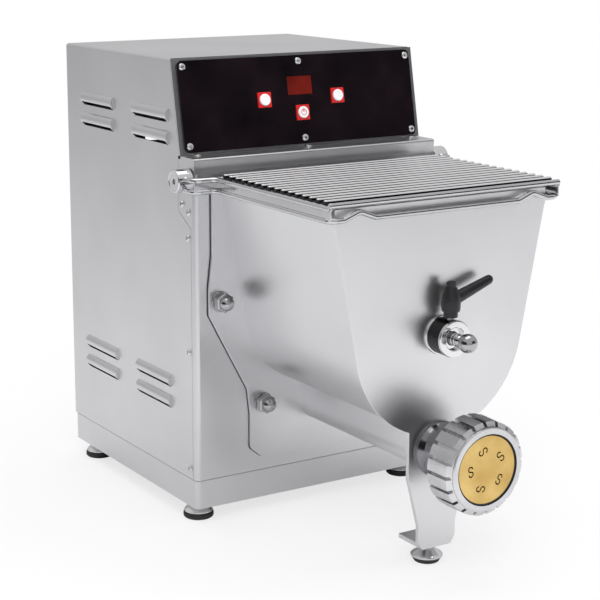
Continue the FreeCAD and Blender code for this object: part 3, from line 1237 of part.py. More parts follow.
def lid_loop(height):
    """The lower rod's route, down one side, along the front with a wave near each end, and back."""
    left, right = lid_sides(height)
    half = num("lid_half")
    wave = []
    top = num("rod_high") - 2 * num("rod_radius") + 0.6
    for side in (-1, 1):
        middle = side * (half - num("wave_inset"))
        reach = num("wave_half")
        wave.append([V(middle - reach, lid_front, height), V(middle, lid_front, top), V(middle + reach, lid_front, height)])
    return left + wave[0] + wave[1] + right[::-1]


bend = num("bend_round")
upper_left, upper_right = lid_sides(num("rod_high"))
upper_left_rod = bent_rod(upper_left, bend, rod_radius)
upper_right_rod = bent_rod(upper_right, bend, rod_radius)
lower_rod = bent_rod(lid_loop(num("rod_low")), bend, rod_radius)
rear_rod = Part.makeCylinder(rod_radius, 2 * num("lid_half"), V(-num("lid_half"), rear_y, num("rod_high")), V(1, 0, 0))
front_rod = Part.makeCylinder(rod_radius, 2 * num("lid_half") + 2,
                              V(-num("lid_half") - 1, lid_front, num("rod_high") + num("rod_radius")), V(1, 0, 0))
strips = []
for x_side in (-1, 1):
    strip = Part.makeBox(num("strip_wall"), rear_y - lid_front, num("rod_high") - num("rod_low"))
    strip.translate(V(x_side * num("lid_half") - num("strip_wall") / 2, lid_front, num("rod_low")))
    strips.append(strip)
    lug = Part.makeBox(arm_x - num("lid_half"), num("strip_wall"), num("rod_high") - num("rod_low"))
    lug.translate(V(num("lid_half") if x_side > 0 else -arm_x, rear_y - num("strip_wall") / 2, num("rod_low")))
    strips.append(lug)
frame_shape = upper_left_rod.multiFuse([upper_right_rod, lower_rod, rear_rod, front_rod] + strips)
hub_room = [Part.makeCylinder(num("hub_radius"), num("hub_long") + 0.001,
                              V(x0, at.hinge_y_at, num("hinge_z")), V(1, 0, 0))
            for x0 in (num("case_width") / 2 + num("hub_start"),
                       -num("case_width") / 2 - num("hub_start") - num("hub_long"))]
shaped("lid_frame", frame_shape.cut(hub_room[0]).cut(hub_room[1]))

wire_z = num("rod_high") + num("rod_radius") + num("wire_radius") - num("weld_sink")
wires = []
first_wire = rear_y - 11
last_wire = lid_front + 9
count = int(num("wire_count"))
for i in range(count):
    y = first_wire + (last_wire - first_wire) * i / (count - 1)
    long = 2 * num("lid_half") - num("strip_wall")
    wires.append(Part.makeCylinder(num("wire_radius"), long, V(-long / 2, y, wire_z), V(1, 0, 0)))
shaped("lid_wires", Part.makeCompound(wires))

# Feet: metal cup with a stud, on a rubber pad

def foot(x, y, top):
    """One foot: the cup with its stud and the pad under it."""
    cup = fuse(taper("z", (x, y), ("foot_pad_tall", top), ("foot_radius - 1", "foot_radius - 1 - foot_cup_slope")),
               rod("z", (x, y), (top, "%s + foot_stud_long" % top), "foot_stud"))
    rubber = fuse(rod("z", (x, y), ("1", "foot_pad_tall"), "foot_radius"),
                  taper("z", (x, y), ("0", "1"), ("foot_radius - 2", "foot_radius")))
    return cup, rubber


feet = [foot(x, y, "base_bottom") for x, y in foot_places]
node("foot_cups", group(*[cup for cup, rubber in feet]))
node("foot_pads", group(*[rubber for cup, rubber in feet]))
toe_cup, toe_rubber = foot("0", TOE_Y, "leg_bottom - 4.5")
toe_nut = cut(rod("z", ("0", TOE_Y), ("leg_bottom - 4.2", "leg_bottom - 0.3"), "7"),
              rod("z", ("0", TOE_Y), ("leg_bottom - 5", "leg_bottom"), "foot_stud"))
node("toe_foot_cup", fuse(toe_cup, toe_nut))
node("toe_foot_pad", toe_rubber)

# Check every object, then write each sub-part

doc.recompute()
faults = []
for thing in doc.Objects:
    if "Invalid" in thing.State or "Error" in thing.State:
        faults.append("%s is in state %s" % (thing.Label, thing.State))
for thing in nodes:
    if thing.Shape.isNull() or not thing.Shape.isValid() or not thing.Shape.Solids:
        faults.append("%s has no valid solid" % thing.Label)
if faults:
    raise RuntimeError("; ".join(faults))
os.makedirs("parts", exist_ok=True)
for thing in nodes:
    thing.Shape.exportStep("parts/%s.step" % thing.Label)
print("%d sub-parts written" % len(nodes))
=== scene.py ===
"""The looks of an electric pasta maker, built round its CAD frame.

Metres, in the frame of the CAD: +X to the machine's right, +Y to its rear, +Z up.
"""
import json
from math import atan2, cos, degrees, hypot, pi, radians, sin, tan

import bpy
from mathutils import Matrix, Vector

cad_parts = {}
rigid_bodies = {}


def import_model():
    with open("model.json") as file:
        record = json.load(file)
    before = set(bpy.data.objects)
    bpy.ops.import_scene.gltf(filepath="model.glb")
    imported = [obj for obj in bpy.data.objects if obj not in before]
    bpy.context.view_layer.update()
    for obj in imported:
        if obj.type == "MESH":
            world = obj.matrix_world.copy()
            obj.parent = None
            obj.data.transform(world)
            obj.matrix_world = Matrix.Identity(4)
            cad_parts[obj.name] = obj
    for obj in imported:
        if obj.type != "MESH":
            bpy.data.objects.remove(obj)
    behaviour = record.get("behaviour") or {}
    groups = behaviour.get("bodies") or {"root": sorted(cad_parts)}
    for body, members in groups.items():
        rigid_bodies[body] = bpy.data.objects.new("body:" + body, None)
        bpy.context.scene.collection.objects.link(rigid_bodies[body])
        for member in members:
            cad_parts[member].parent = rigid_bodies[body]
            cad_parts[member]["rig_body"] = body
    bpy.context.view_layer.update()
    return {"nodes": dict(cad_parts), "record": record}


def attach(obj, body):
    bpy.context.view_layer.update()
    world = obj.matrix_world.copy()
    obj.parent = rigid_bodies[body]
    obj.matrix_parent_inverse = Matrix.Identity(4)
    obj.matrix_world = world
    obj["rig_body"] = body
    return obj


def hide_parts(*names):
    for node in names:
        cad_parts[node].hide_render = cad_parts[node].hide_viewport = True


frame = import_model()
MM = 0.001
AXES = {"x": Vector((1, 0, 0)), "y": Vector((0, 1, 0)), "z": Vector((0, 0, 1))}
FACING = {"x": (0, pi / 2, 0), "y": (-pi / 2, 0, 0), "z": (0, 0, 0)}

# Places on the machine, in millimetres
FRONT_Y = -10
SIDE_X = 130
AUGER_Z = 104
PADDLE_Z = 203
HINGE_Y, HINGE_Z = -2, 317
ROD_LOW_Z, ROD_HIGH_Z = 309.6, 319.5
LID_SIDE_X, LID_REAR_Y, LID_FRONT_Y = 116, -25.5, -201
CONSOLE_Y, CONSOLE_Z, CONSOLE_TILT = 14, 336, radians(11)
CONSOLE = (Matrix.Translation(Vector((0, CONSOLE_Y, CONSOLE_Z)) * MM)
           @ Matrix.Rotation(-CONSOLE_TILT, 4, "X"))


# Materials


def sheet_of_nodes(name):
    material = bpy.data.materials.new(name)
    material.use_nodes = True
    nodes = material.node_tree.nodes
    return material, nodes, material.node_tree.links, nodes["Principled BSDF"]


def grain(nodes, links, scale, stretch=(1, 1, 1), detail=3.0):
    """A noise on the piece's own coordinates, stretched along one direction."""
    place = nodes.new("ShaderNodeTexCoord")
    turn = nodes.new("ShaderNodeMapping")
    turn.inputs["Scale"].default_value = stretch
    noise = nodes.new("ShaderNodeTexNoise")
    noise.inputs["Scale"].default_value = scale
    noise.inputs["Detail"].default_value = detail
    links.new(place.outputs["Object"], turn.inputs["Vector"])
    links.new(turn.outputs["Vector"], noise.inputs["Vector"])
    return noise.outputs["Fac"]


def spread(nodes, links, value, low, high, floor=0.3, ceiling=0.7):
    """A noise value carried to a range of its own."""
    step = nodes.new("ShaderNodeMapRange")
    for label, amount in (("From Min", floor), ("From Max", ceiling), ("To Min", low), ("To Max", high)):
        step.inputs[label].default_value = amount
    links.new(value, step.inputs["Value"])
    return step.outputs["Result"]


def tinted(nodes, links, value, dark, light):
    ramp = nodes.new("ShaderNodeValToRGB")
    ramp.color_ramp.elements[0].position = 0.3
    ramp.color_ramp.elements[0].color = (*dark, 1)
    ramp.color_ramp.elements[1].position = 0.7
    ramp.color_ramp.elements[1].color = (*light, 1)
    links.new(value, ramp.inputs["Fac"])
    return ramp.outputs["Color"]


def bumped(nodes, links, shader, value, strength, depth):
    bump = nodes.new("ShaderNodeBump")
    bump.inputs["Strength"].default_value = strength
    bump.inputs["Distance"].default_value = depth
    links.new(value, bump.inputs["Height"])
    links.new(bump.outputs["Normal"], shader.inputs["Normal"])


def metal(name, dark, light, rough, scale, stretch, bump=0.1, depth=2e-5):
    """A metal whose brushing or turning marks run along the least stretched direction."""
    material, nodes, links, shader = sheet_of_nodes(name)
    marks = grain(nodes, links, scale, stretch)
    clouds = grain(nodes, links, 9, detail=2)
    shader.inputs["Metallic"].default_value = 1
    links.new(tinted(nodes, links, clouds, dark, light), shader.inputs["Base Color"])
    links.new(spread(nodes, links, marks, *rough), shader.inputs["Roughness"])
    bumped(nodes, links, shader, marks, bump, depth)
    return material


def moulded(name, dark, light, rough, scale=900, bump=0.15, depth=2e-5, gloss=0.5):
    """A plastic, rubber or painted surface with a fine grain."""
    material, nodes, links, shader = sheet_of_nodes(name)
    fine = grain(nodes, links, scale)
    clouds = grain(nodes, links, 30, detail=2)
    shader.inputs["Specular IOR Level"].default_value = gloss
    links.new(tinted(nodes, links, clouds, dark, light), shader.inputs["Base Color"])
    links.new(spread(nodes, links, fine, *rough), shader.inputs["Roughness"])
    bumped(nodes, links, shader, fine, bump, depth)
    return material


def turned_metal(name, dark, light, rough, rings, centre, bump=0.12):
    """A metal turned about an axis along Y, with fine rings round that axis."""
    material, nodes, links, shader = sheet_of_nodes(name)
    place = nodes.new("ShaderNodeTexCoord")
    turn = nodes.new("ShaderNodeMapping")
    turn.inputs["Location"].default_value = -Vector(centre) * MM
    wave = nodes.new("ShaderNodeTexWave")
    wave.wave_type = "RINGS"
    wave.rings_direction = "Y"
    wave.inputs["Scale"].default_value = rings
    wave.inputs["Distortion"].default_value = 1.5
    wave.inputs["Detail"].default_value = 3
    links.new(place.outputs["Object"], turn.inputs["Vector"])
    links.new(turn.outputs["Vector"], wave.inputs["Vector"])
    clouds = grain(nodes, links, 40, detail=3)
    shader.inputs["Metallic"].default_value = 1
    links.new(tinted(nodes, links, clouds, dark, light), shader.inputs["Base Color"])
    links.new(spread(nodes, links, wave.outputs["Fac"], *rough, 0, 1), shader.inputs["Roughness"])
    bumped(nodes, links, shader, wave.outputs["Fac"], bump, 1e-5)
    return material


def grey(level):
    """A steel's grey, a touch cool."""
    return level, level, level + 0.01


EVENLY, ALONG_X, ALONG_Y, ALONG_Z = (1, 1, 1), (0.01, 1, 1), (1, 0.1, 1), (1, 1, 0.01)
steel_up = metal("brushed steel, upright grain", grey(0.60), grey(0.66), (0.28, 0.34), 2600, ALONG_Z, 0.05)
steel_across = metal("brushed steel, level grain", grey(0.60), grey(0.66), (0.28, 0.34), 2600, ALONG_X, 0.05)
tub_steel = metal("satin tub steel", grey(0.68), grey(0.73), (0.30, 0.35), 2600, ALONG_X, 0.02)
polished = metal("polished steel", grey(0.66), grey(0.76), (0.08, 0.14), 400, EVENLY, 0.02)
# Polished steel painted darker: painted dark reflections on the small turned parts, the acorn nuts and the
# locking pin.
polish_painted_dark = metal("polished steel, painted dark reflection", grey(0.36), grey(0.46), (0.1, 0.18), 400, EVENLY, 0.02)
lid_polish = metal("polished rod", grey(0.52), grey(0.60), (0.1, 0.16), 400, EVENLY, 0.02)
# Polished steel painted darker still for the nozzle: painted dark reflection on its dish.
nozzle_painted_dark = metal("nozzle steel, painted dark reflection", grey(0.20), grey(0.28), (0.12, 0.2), 400, EVENLY, 0.02)
# Painted dark reflection: a near-black metal for the sleeve over the paddle boss's side.
painted_dark_reflection = metal("painted dark reflection, turned", (0.030, 0.030, 0.031), (0.045, 0.045, 0.047), (0.2, 0.3),
                  600, EVENLY, 0.02)
machined = metal("machined steel", (0.34, 0.34, 0.36), (0.50, 0.50, 0.52), (0.3, 0.5), 700, ALONG_Y, 0.15)
outlet_axis = (0, 0, AUGER_Z)
aluminium = turned_metal("turned aluminium", grey(0.56), grey(0.68), (0.18, 0.28), 500, outlet_axis)
bronze = turned_metal("turned bronze", (0.60, 0.40, 0.13), (0.78, 0.56, 0.22), (0.3, 0.46), 420, outlet_axis)
fascia_gloss = moulded("black fascia gloss", (0.004, 0.003, 0.004), (0.010, 0.006, 0.008), (0.06, 0.12),
                       500, 0.02, gloss=0.3)
display_red = moulded("dark red filter", (0.085, 0.006, 0.004), (0.16, 0.012, 0.008), (0.08, 0.16),
                      300, 0.02, gloss=0.4)
bezel_red = moulded("bezel red", (0.52, 0.012, 0.012), (0.66, 0.020, 0.018), (0.18, 0.3), 600, 0.05)
button_white = moulded("button white", (0.78, 0.78, 0.79), (0.88, 0.88, 0.88), (0.22, 0.34), 700, 0.05)
nylon_black = moulded("black nylon", (0.008, 0.008, 0.009), (0.018, 0.018, 0.02), (0.3, 0.42), 1400, 0.2,
                      gloss=0.35)
rubber_black = moulded("black rubber", (0.010, 0.010, 0.010), (0.024, 0.024, 0.024), (0.55, 0.8), 1200, 0.35)
mould_black = moulded("black plastic", (0.014, 0.014, 0.015), (0.03, 0.03, 0.032), (0.35, 0.55), 1000, 0.2)
board_green = moulded("board green", (0.008, 0.10, 0.03), (0.014, 0.17, 0.05), (0.25, 0.45), 300, 0.1)
motor_blue = moulded("motor paint", (0.04, 0.06, 0.10), (0.07, 0.10, 0.15), (0.3, 0.5), 250, 0.3)
seal_white = moulded("food-grade white", (0.66, 0.66, 0.62), (0.76, 0.76, 0.72), (0.4, 0.6), 800, 0.1)


def painted_shade_below(material, dark, light, low, high):
    """The same look with painted shade: the colour goes dark under a level in metres, standing in for the shade
    between close wires.
    """
    nodes, links = material.node_tree.nodes, material.node_tree.links
    place, split = nodes.new("ShaderNodeTexCoord"), nodes.new("ShaderNodeSeparateXYZ")
    links.new(place.outputs["Object"], split.inputs["Vector"])
    level = spread(nodes, links, split.outputs["Z"], 0.0, 1.0, low, high)
    links.new(tinted(nodes, links, level, dark, light), nodes["Principled BSDF"].inputs["Base Color"])
    return material


# Painted shade on the lid wires: dark below the first level and light above the second, in metres, so only the
# wires' tops keep the light colour.
WIRE_SHADE_Z, WIRE_LIGHT_Z = 0.3239, 0.3251
wire_metal = metal("polished wire, painted shade below", (0.7, 0.7, 0.7), (0.8, 0.8, 0.8), (0.1, 0.16), 400, EVENLY, 0.02)
wire_painted_shade = painted_shade_below(wire_metal, (0.03, 0.03, 0.032), (0.86, 0.86, 0.87), WIRE_SHADE_Z, WIRE_LIGHT_Z)

SLOT_LOOKS = {"brushed": steel_up, "polished": polished, "fascia": fascia_gloss, "display": display_red,
              "bezel": bezel_red, "button": button_white, "board": board_green, "aluminium": aluminium,
              "bronze": bronze, "lever": nylon_black, "rubber": rubber_black, "steel": machined,
              "black_plastic": mould_black, "motor_paint": motor_blue, "food_plastic": seal_white}
node_slots = {part["node"]: part["material_slot"] for part in frame["record"]["subparts"]}


def dress(piece, material):
    piece.data.materials.clear()
    piece.data.materials.append(material)
    return piece


for label, thing in frame["nodes"].items():
    dress(thing, SLOT_LOOKS[node_slots[label]])


# Ways of making


def put_down():
    """Leaves edit mode and lets go of everything."""
    if bpy.context.mode != "OBJECT":
        bpy.ops.object.mode_set(mode="OBJECT")
    bpy.ops.object.select_all(action="DESELECT")


def take(piece):
    put_down()
    piece.select_set(True)
    bpy.context.view_layer.objects.active = piece
    return piece


def set_in_place(piece):
    """Puts the object's own place and turn into its mesh."""
    take(piece)
    bpy.ops.object.transform_apply(location=True, rotation=True, scale=True)
    return piece


def shaped_by(piece, kind, **settings):
    """One modifier, applied at once."""
    take(piece)
    step = piece.modifiers.new(kind.lower(), kind)
    for label, amount in settings.items():
        setattr(step, label, amount)
    bpy.ops.object.modifier_apply(modifier=step.name)
    return piece


def softened(piece, width, segments=2, angle=32):
    """Small rounds on every sharp edge, and smooth shading between them."""
    shaped_by(piece, "BEVEL", width=width * MM, segments=segments, limit_method="ANGLE",
              angle_limit=radians(angle), harden_normals=False)
    take(piece)
    bpy.ops.object.shade_smooth_by_angle(angle=radians(28))
    return shaped_by(piece, "WEIGHTED_NORMAL", keep_sharp=True)


def turned(name, axis, centre, stations, steps=64):
    """A turned piece. Stations are places along the axis with their radii.

    A last station like the first one closes the profile to a ring.
    """
    put_down()
    along = AXES[axis]
    lying = Vector([0 if letter == axis else amount for letter, amount in zip("xyz", centre)])
    first, radius = stations[0]
    bpy.ops.mesh.primitive_circle_add(vertices=steps, radius=radius * MM, fill_type="NOTHING",
                                      location=(lying + along * first) * MM, rotation=FACING[axis])
    piece = set_in_place(bpy.context.object)
    piece.name = piece.data.name = name
    bpy.ops.object.mode_set(mode="EDIT")
    bpy.ops.mesh.select_mode(type="VERT")
    bpy.ops.mesh.select_all(action="SELECT")
    for (here, old), (there, new) in zip(stations, stations[1:]):
        bpy.ops.mesh.extrude_region_move(TRANSFORM_OT_translate={"value": along * (there - here) * MM})
        if abs(new - old) > 1e-6:
            bpy.ops.transform.resize(value=(new / old,) * 3, center_override=(lying + along * there) * MM)
    bpy.ops.mesh.select_all(action="SELECT")
    bpy.ops.mesh.remove_doubles(threshold=1e-6)
    bpy.ops.mesh.select_all(action="DESELECT")
    bpy.ops.mesh.select_non_manifold(extend=False, use_boundary=True, use_wire=False, use_multi_face=False,
                                     use_non_contiguous=False, use_verts=False)
    bpy.ops.mesh.fill_holes(sides=0)
    bpy.ops.mesh.select_all(action="SELECT")
    bpy.ops.mesh.normals_make_consistent(inside=False)
    put_down()
    return piece


def lathed(name, axis, centre, stations, steps, ease, segments=2, angle=32):
    """A turned piece with its edges eased."""
    return softened(turned(name, axis, centre, stations, steps), ease, segments, angle)


def sleeve(name, centre, span, radii, steps):
    """A plain sleeve along Y between two places and two radii."""
    (start, end), (inner, outer) = span, radii
    stations = [(start, inner), (start, outer), (end, outer), (end, inner), (start, inner)]
    return lathed(name, "y", centre, stations, steps, 0.05, 1)


def block(name, low, high):
    """A box between two corners, to be worked on."""
    put_down()
    low, high = Vector(low) * MM, Vector(high) * MM
    bpy.ops.mesh.primitive_cube_add(size=1, location=(low + high) / 2)
    piece = bpy.context.object
    piece.scale = high - low
    piece.name = piece.data.name = name
    return set_in_place(piece)


def worked(piece, chosen, *steps):
    """Edit-mode steps on the faces that a test picks by their middle and normal."""
    take(piece)
    for polygon in piece.data.polygons:
        polygon.select = chosen(polygon.center / MM, polygon.normal)
    for thing in (*piece.data.vertices, *piece.data.edges):
        thing.select = False
    for polygon in piece.data.polygons:
        if polygon.select:
            for index in polygon.vertices:
                piece.data.vertices[index].select = True
    bpy.ops.object.mode_set(mode="EDIT")
    bpy.ops.mesh.select_mode(type="FACE")
    for step in steps:
        step()
    put_down()
    return piece


def copied(piece, name, move):
    """A copy with its own mesh, moved by a matrix or a step in millimetres."""
    twin = piece.copy()
    twin.data = piece.data.copy()
    twin.name = twin.data.name = name
    bpy.context.scene.collection.objects.link(twin)
    twin.data.transform(move if isinstance(move, Matrix) else Matrix.Translation(Vector(move) * MM))
    return twin


def joined(name, pieces):
    put_down()
    for piece in pieces:
        piece.select_set(True)
    bpy.context.view_layer.objects.active = pieces[0]
    bpy.ops.object.join()
    pieces[0].name = pieces[0].data.name = name
    return pieces[0]


def carved(piece, *cutters):
    """The piece less the cutters, which are used up."""
    for cutter in cutters:
        shaped_by(piece, "BOOLEAN", operation="DIFFERENCE", object=cutter, solver="EXACT")
        bpy.data.objects.remove(cutter)
    return piece


def rounded_path(points, bend, steps=6):
    """Corners of a path replaced by arcs, in millimetres."""
    points = [Vector(point) for point in points]
    path = [points[0]]
    for back, corner, ahead in zip(points, points[1:], points[2:]):
        toward, onward = (back - corner).normalized(), (ahead - corner).normalized()
        half = (pi - toward.angle(onward)) / 2
        trim = bend * tan(half)
        middle = corner + (toward + onward).normalized() * bend / cos(half)
        first = (corner + toward * trim - middle).normalized()
        last = (corner + onward * trim - middle).normalized()
        path += [middle + first.slerp(last, i / steps) * bend for i in range(steps + 1)]
    return path + [points[-1]]


def rod(name, points, radius, bend=0.0, sides=3):
    """A round rod bent along a path, with closed ends."""
    put_down()
    path = rounded_path(points, bend) if bend else [Vector(point) for point in points]
    wire = bpy.data.curves.new(name, "CURVE")
    wire.dimensions = "3D"
    wire.bevel_depth = radius * MM
    wire.bevel_resolution = sides
    wire.use_fill_caps = True
    spline = wire.splines.new("POLY")
    spline.points.add(len(path) - 1)
    for knot, point in zip(spline.points, path):
        knot.co = (*(point * MM), 1)
    piece = bpy.data.objects.new(name, wire)
    bpy.context.scene.collection.objects.link(piece)
    take(piece)
    bpy.ops.object.convert(target="MESH")
    piece = bpy.context.object
    bpy.ops.object.mode_set(mode="EDIT")
    bpy.ops.mesh.select_all(action="SELECT")
    bpy.ops.mesh.remove_doubles(threshold=1e-6)
    bpy.ops.mesh.normals_make_consistent(inside=False)
    put_down()
    take(piece)
    bpy.ops.object.shade_smooth_by_angle(angle=radians(50))
    return piece


def own_copy(label, name):
    """A copy of a CAD node, free of it and in view."""
    piece = frame["nodes"][label].copy()
    piece.data = frame["nodes"][label].data.copy()
    piece.parent = None
    piece.matrix_world = Matrix.Identity(4)
    for key in list(piece.keys()):
        del piece[key]
    piece.name = piece.data.name = name
    bpy.context.scene.collection.objects.link(piece)
    piece.hide_viewport = piece.hide_render = False
    piece.hide_set(False)
    return piece


def refined(label, material, width=0.0, angle=24):
    """A CAD sub-part's own form, merged, with small rounds on its edges and smooth curves."""
    piece = own_copy(label, label + "_dressed")
    take(piece)
    bpy.ops.object.mode_set(mode="EDIT")
    bpy.ops.mesh.select_all(action="SELECT")
    bpy.ops.mesh.remove_doubles(threshold=2e-6)
    bpy.ops.mesh.dissolve_limited(angle_limit=radians(0.4))
    put_down()
    if width:
        shaped_by(piece, "BEVEL", width=width * MM, segments=2, limit_method="ANGLE",
                  angle_limit=radians(40), harden_normals=False)
    take(piece)
    bpy.ops.object.shade_smooth_by_angle(angle=radians(angle))
    shaped_by(piece, "WEIGHTED_NORMAL", keep_sharp=True)
    return settle(piece, material, frame["nodes"][label]["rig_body"], node_slots[label], label)


def settle(piece, material, body, slot_name, *replaced):
    """Gives a finished piece its material and its body, and hides the CAD nodes that it stands for; the slot
    name is not used.
    """
    dress(piece, material)
    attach(piece, body)
    if replaced:
        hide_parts(*replaced)
    return piece


# Casing and tub: the sheet metal keeps the CAD's forms, with eased edges

for label, material, width in (
        ("front_panel", steel_up, 0.25), ("case_cover", steel_up, 0.2), ("base_tray", steel_across, 0.3),
        ("ledge", steel_across, 0.3), ("console_sheet", steel_across, 0.2), ("rear_panel", steel_up, 0.2),
        ("tub_shell", tub_steel, 0), ("tub_flange", steel_up, 0.3), ("front_plate", tub_steel, 0.5),
        ("auger", polished, 0.2), ("mixing_paddle", polished, 0), ("fascia_plate", fascia_gloss, 0.3),
        ("die", bronze, 0.12), ("display_window", display_red, 0.2)):
    refined(label, material, width)

# Painted shadow round the tub's flange: a thin black copy of the flange, spread a little wider, stands in for
# the contact shadow at its edge

SHADOW_SPREAD = (1.005, 0.15, 1.003)
FLANGE_MIDDLE_Z = 184
flange_shadow_sheet = own_copy("tub_flange", "flange_painted_shadow")
take(flange_shadow_sheet)
bpy.ops.object.mode_set(mode="EDIT")
bpy.ops.mesh.select_all(action="SELECT")
bpy.ops.mesh.remove_doubles(threshold=2e-6)
bpy.ops.transform.resize(value=SHADOW_SPREAD, center_override=Vector((0, FRONT_Y, FLANGE_MIDDLE_Z)) * MM)
put_down()
settle(flange_shadow_sheet, rubber_black, "machine", "rubber")

# Screws: a pan head with a cross in it, modelled once

PAN_PROFILE = [(0, 3.2), (-0.7, 3.2), (-1.2, 2.9), (-1.6, 2.2), (-1.8, 1.2)]
CROSS_LONG, CROSS_THIN, CROSS_FLOOR_Y = 1.9, 0.42, -0.9
FIRST_SPIN, NEXT_SPIN = 25, 40
OUTWARD = Vector((0, -1, 0))
pan = turned("pan_head", "y", (0, 0, 0), PAN_PROFILE, 28)
for name, half_x, half_z in (("bar", CROSS_LONG, CROSS_THIN), ("post", CROSS_THIN, CROSS_LONG)):
    carved(pan, block(name, (-half_x, -3, -half_z), (half_x, CROSS_FLOOR_Y, half_z)))
softened(pan, 0.08, 1, 50)


def screws_at(name, stood_for, places):
    """Copies of the screw at places in millimetres, each turned to its own direction."""
    heads = []
    for number, (place, direction) in enumerate(places):
        turn = OUTWARD.rotation_difference(Vector(direction)).to_matrix().to_4x4()
        spin = Matrix.Rotation(radians(FIRST_SPIN + NEXT_SPIN * number), 4, "Y")
        move = Matrix.Translation(Vector(place) * MM) @ turn @ spin
        heads.append(copied(pan, name + "_%d" % number, move))
    return settle(joined(name, heads), polished, "machine", "polished", stood_for)


def on_console(x, out, up):
    """A place on the leaning console, in millimetres of the row frame."""
    return CONSOLE @ (Vector((x, -out, up)) * MM) / MM


FASCIA_OUT, LEDGE_SCREW_Y = 2, 8
SIDE_SCREWS = [(1, 265), (1, 161), (1, 52.5), (11.2, 294), (-0.3, 288)]
lean_out = CONSOLE.to_3x3() @ OUTWARD
fascia_places = [(on_console(x, FASCIA_OUT, up), lean_out) for x in (-120.5, 0, 120.5) for up in (7.5, 77.5)]
ledge_places = [((x, LEDGE_SCREW_Y, CONSOLE_Z), (0, 0, 1)) for x in (-116, 0, 116)]
side_places = [((side * SIDE_X, y, z), (side, 0, 0)) for side in (-1, 1) for y, z in SIDE_SCREWS]
screws_at("console_screw_heads", "console_screws", fascia_places + ledge_places)
screws_at("side_screw_heads", "casing_screws", side_places)
bpy.data.objects.remove(pan)

# Acorn nuts on washers

NUT_Y, DOME_Y, DOME = -14.5, -23.5, 6.8
NUT_SPOTS = [(-105.5, 207.8), (105.5, 207.8), (-61.9, 108.2), (61.9, 108.2)]
hexagon_profile = [(NUT_Y, 8.6), (NUT_Y - 0.7, 9.24), (NUT_Y - 6.8, 9.24), (NUT_Y - 8, 7.6)]
dome_profile = [(NUT_Y - 7, DOME)]
dome_profile += [(DOME_Y - DOME * sin(radians(a)), DOME * cos(radians(a))) for a in range(0, 90, 12)]
washer_profile = [(-13, 5), (-13, 9.3), (-13.3, 9.5), (-14.2, 9.5), (-14.5, 9.3), (-14.5, 5), (-13, 5)]
nut = joined("nut", [lathed("hexagon", "y", (0, 0, 0), hexagon_profile, 6, 0.35),
                     lathed("dome", "y", (0, 0, 0), dome_profile, 40, 0.1, 1, 50),
                     lathed("washer", "y", (0, 0, 0), washer_profile, 48, 0.1, 1, 50)])
nuts = [copied(nut, "nut_%d" % number, (x, 0, z)) for number, (x, z) in enumerate(NUT_SPOTS)]
bpy.data.objects.remove(nut)
settle(joined("acorn_nuts", nuts), polish_painted_dark, "machine", "polished", "tub_nuts")

# Outlet: nozzle with its dished neck, and the ring nut with its grip lobes

nozzle_profile = [
    (-246.5, 27.4), (-246.5, 32.6), (-246, 33), (-229, 33), (-228.5, 32.5), (-228.5, 21.2),
    (-212, 21), (-206, 21.1), (-203, 21.5), (-200.5, 22.4), (-198.8, 23.6), (-198, 24.1),
    (-197.4, 24.3), (-195.4, 24.3), (-195, 24), (-195, 18.5), (-236.5, 18.5), (-246.5, 27.4)]
nozzle = lathed("nozzle", "y", outlet_axis, nozzle_profile, 96, 0.15)
settle(nozzle, nozzle_painted_dark, "machine", "polished", "outlet_nozzle")

LOBES, FACES_PER_LOBE, GROOVE_SHARE, GROOVE_DEPTH = 20, 8, 0.26, 0.89
LOBE_FRONT_Y, LOBE_REAR_Y, LOBE_FOOT = -257.9, -231, 35.9
ring_profile = [
    (-260, 30.2), (-260, 34.5), (-259.4, 35.1), (-258.2, 35.2), (LOBE_FRONT_Y, 36), (-255.4, 39.5),
    (-231.8, 40.1), (LOBE_REAR_Y, 39.4), (LOBE_REAR_Y, 33.1), (-257, 33.1), (-257, 30.2), (-260, 30.2)]
ring = turned("grip_ring", "y", outlet_axis, ring_profile, LOBES * FACES_PER_LOBE)


def in_groove(middle, normal):
    """Whether a face lies between two lobes."""
    share = degrees(atan2(middle.z - AUGER_Z, middle.x)) / 360 * LOBES % 1
    out = hypot(middle.x, middle.z - AUGER_Z)
    return LOBE_FRONT_Y < middle.y < LOBE_REAR_Y and out > LOBE_FOOT and share < GROOVE_SHARE


worked(ring, in_groove,
       lambda: bpy.ops.mesh.extrude_region_move(),
       lambda: bpy.ops.transform.resize(value=(GROOVE_DEPTH, 1, GROOVE_DEPTH),
                                        center_override=Vector(outlet_axis) * MM))
settle(softened(ring, 0.25), aluminium, "ring", "aluminium", "ring_nut")

# A black sleeve in the gap between the ring nut and the die: painted shade, standing in for the dark depth of
# the gap.
die_gap_shade = sleeve("die_gap_painted_shade", outlet_axis, (-257, -258.9), (28.8, 30.1), 96)
settle(die_gap_shade, rubber_black, "machine", "rubber")

# Paddle bearing: boss, locking pin with its ball, and the clamp lever

paddle_axis = (0, 0, PADDLE_Z)
boss_profile = [
    (-195, 6.1), (-195, 16.6), (-195.3, 16.8), (-196.3, 16.8), (-196.6, 16.4), (-196.8, 15),
    (-211, 15), (-211.1, 15.6), (-212.4, 15.8), (-213.6, 15.4), (-214, 14.6), (-214, 10.2),
    (-213.4, 9.5), (-210, 9.5), (-210, 6.1), (-195, 6.1)]
boss = lathed("boss", "y", paddle_axis, boss_profile, 72, 0.12)
settle(boss, polished, "machine", "polished", "paddle_boss")
# A near-black sleeve over the boss's side: painted dark reflection, in place of the dark surroundings that the
# polished side shows.
boss_reflection_sleeve = sleeve("boss_painted_reflection", paddle_axis, (-196.8, -211), (14.9, 15.5), 72)
settle(boss_reflection_sleeve, painted_dark_reflection, "machine", "polished")

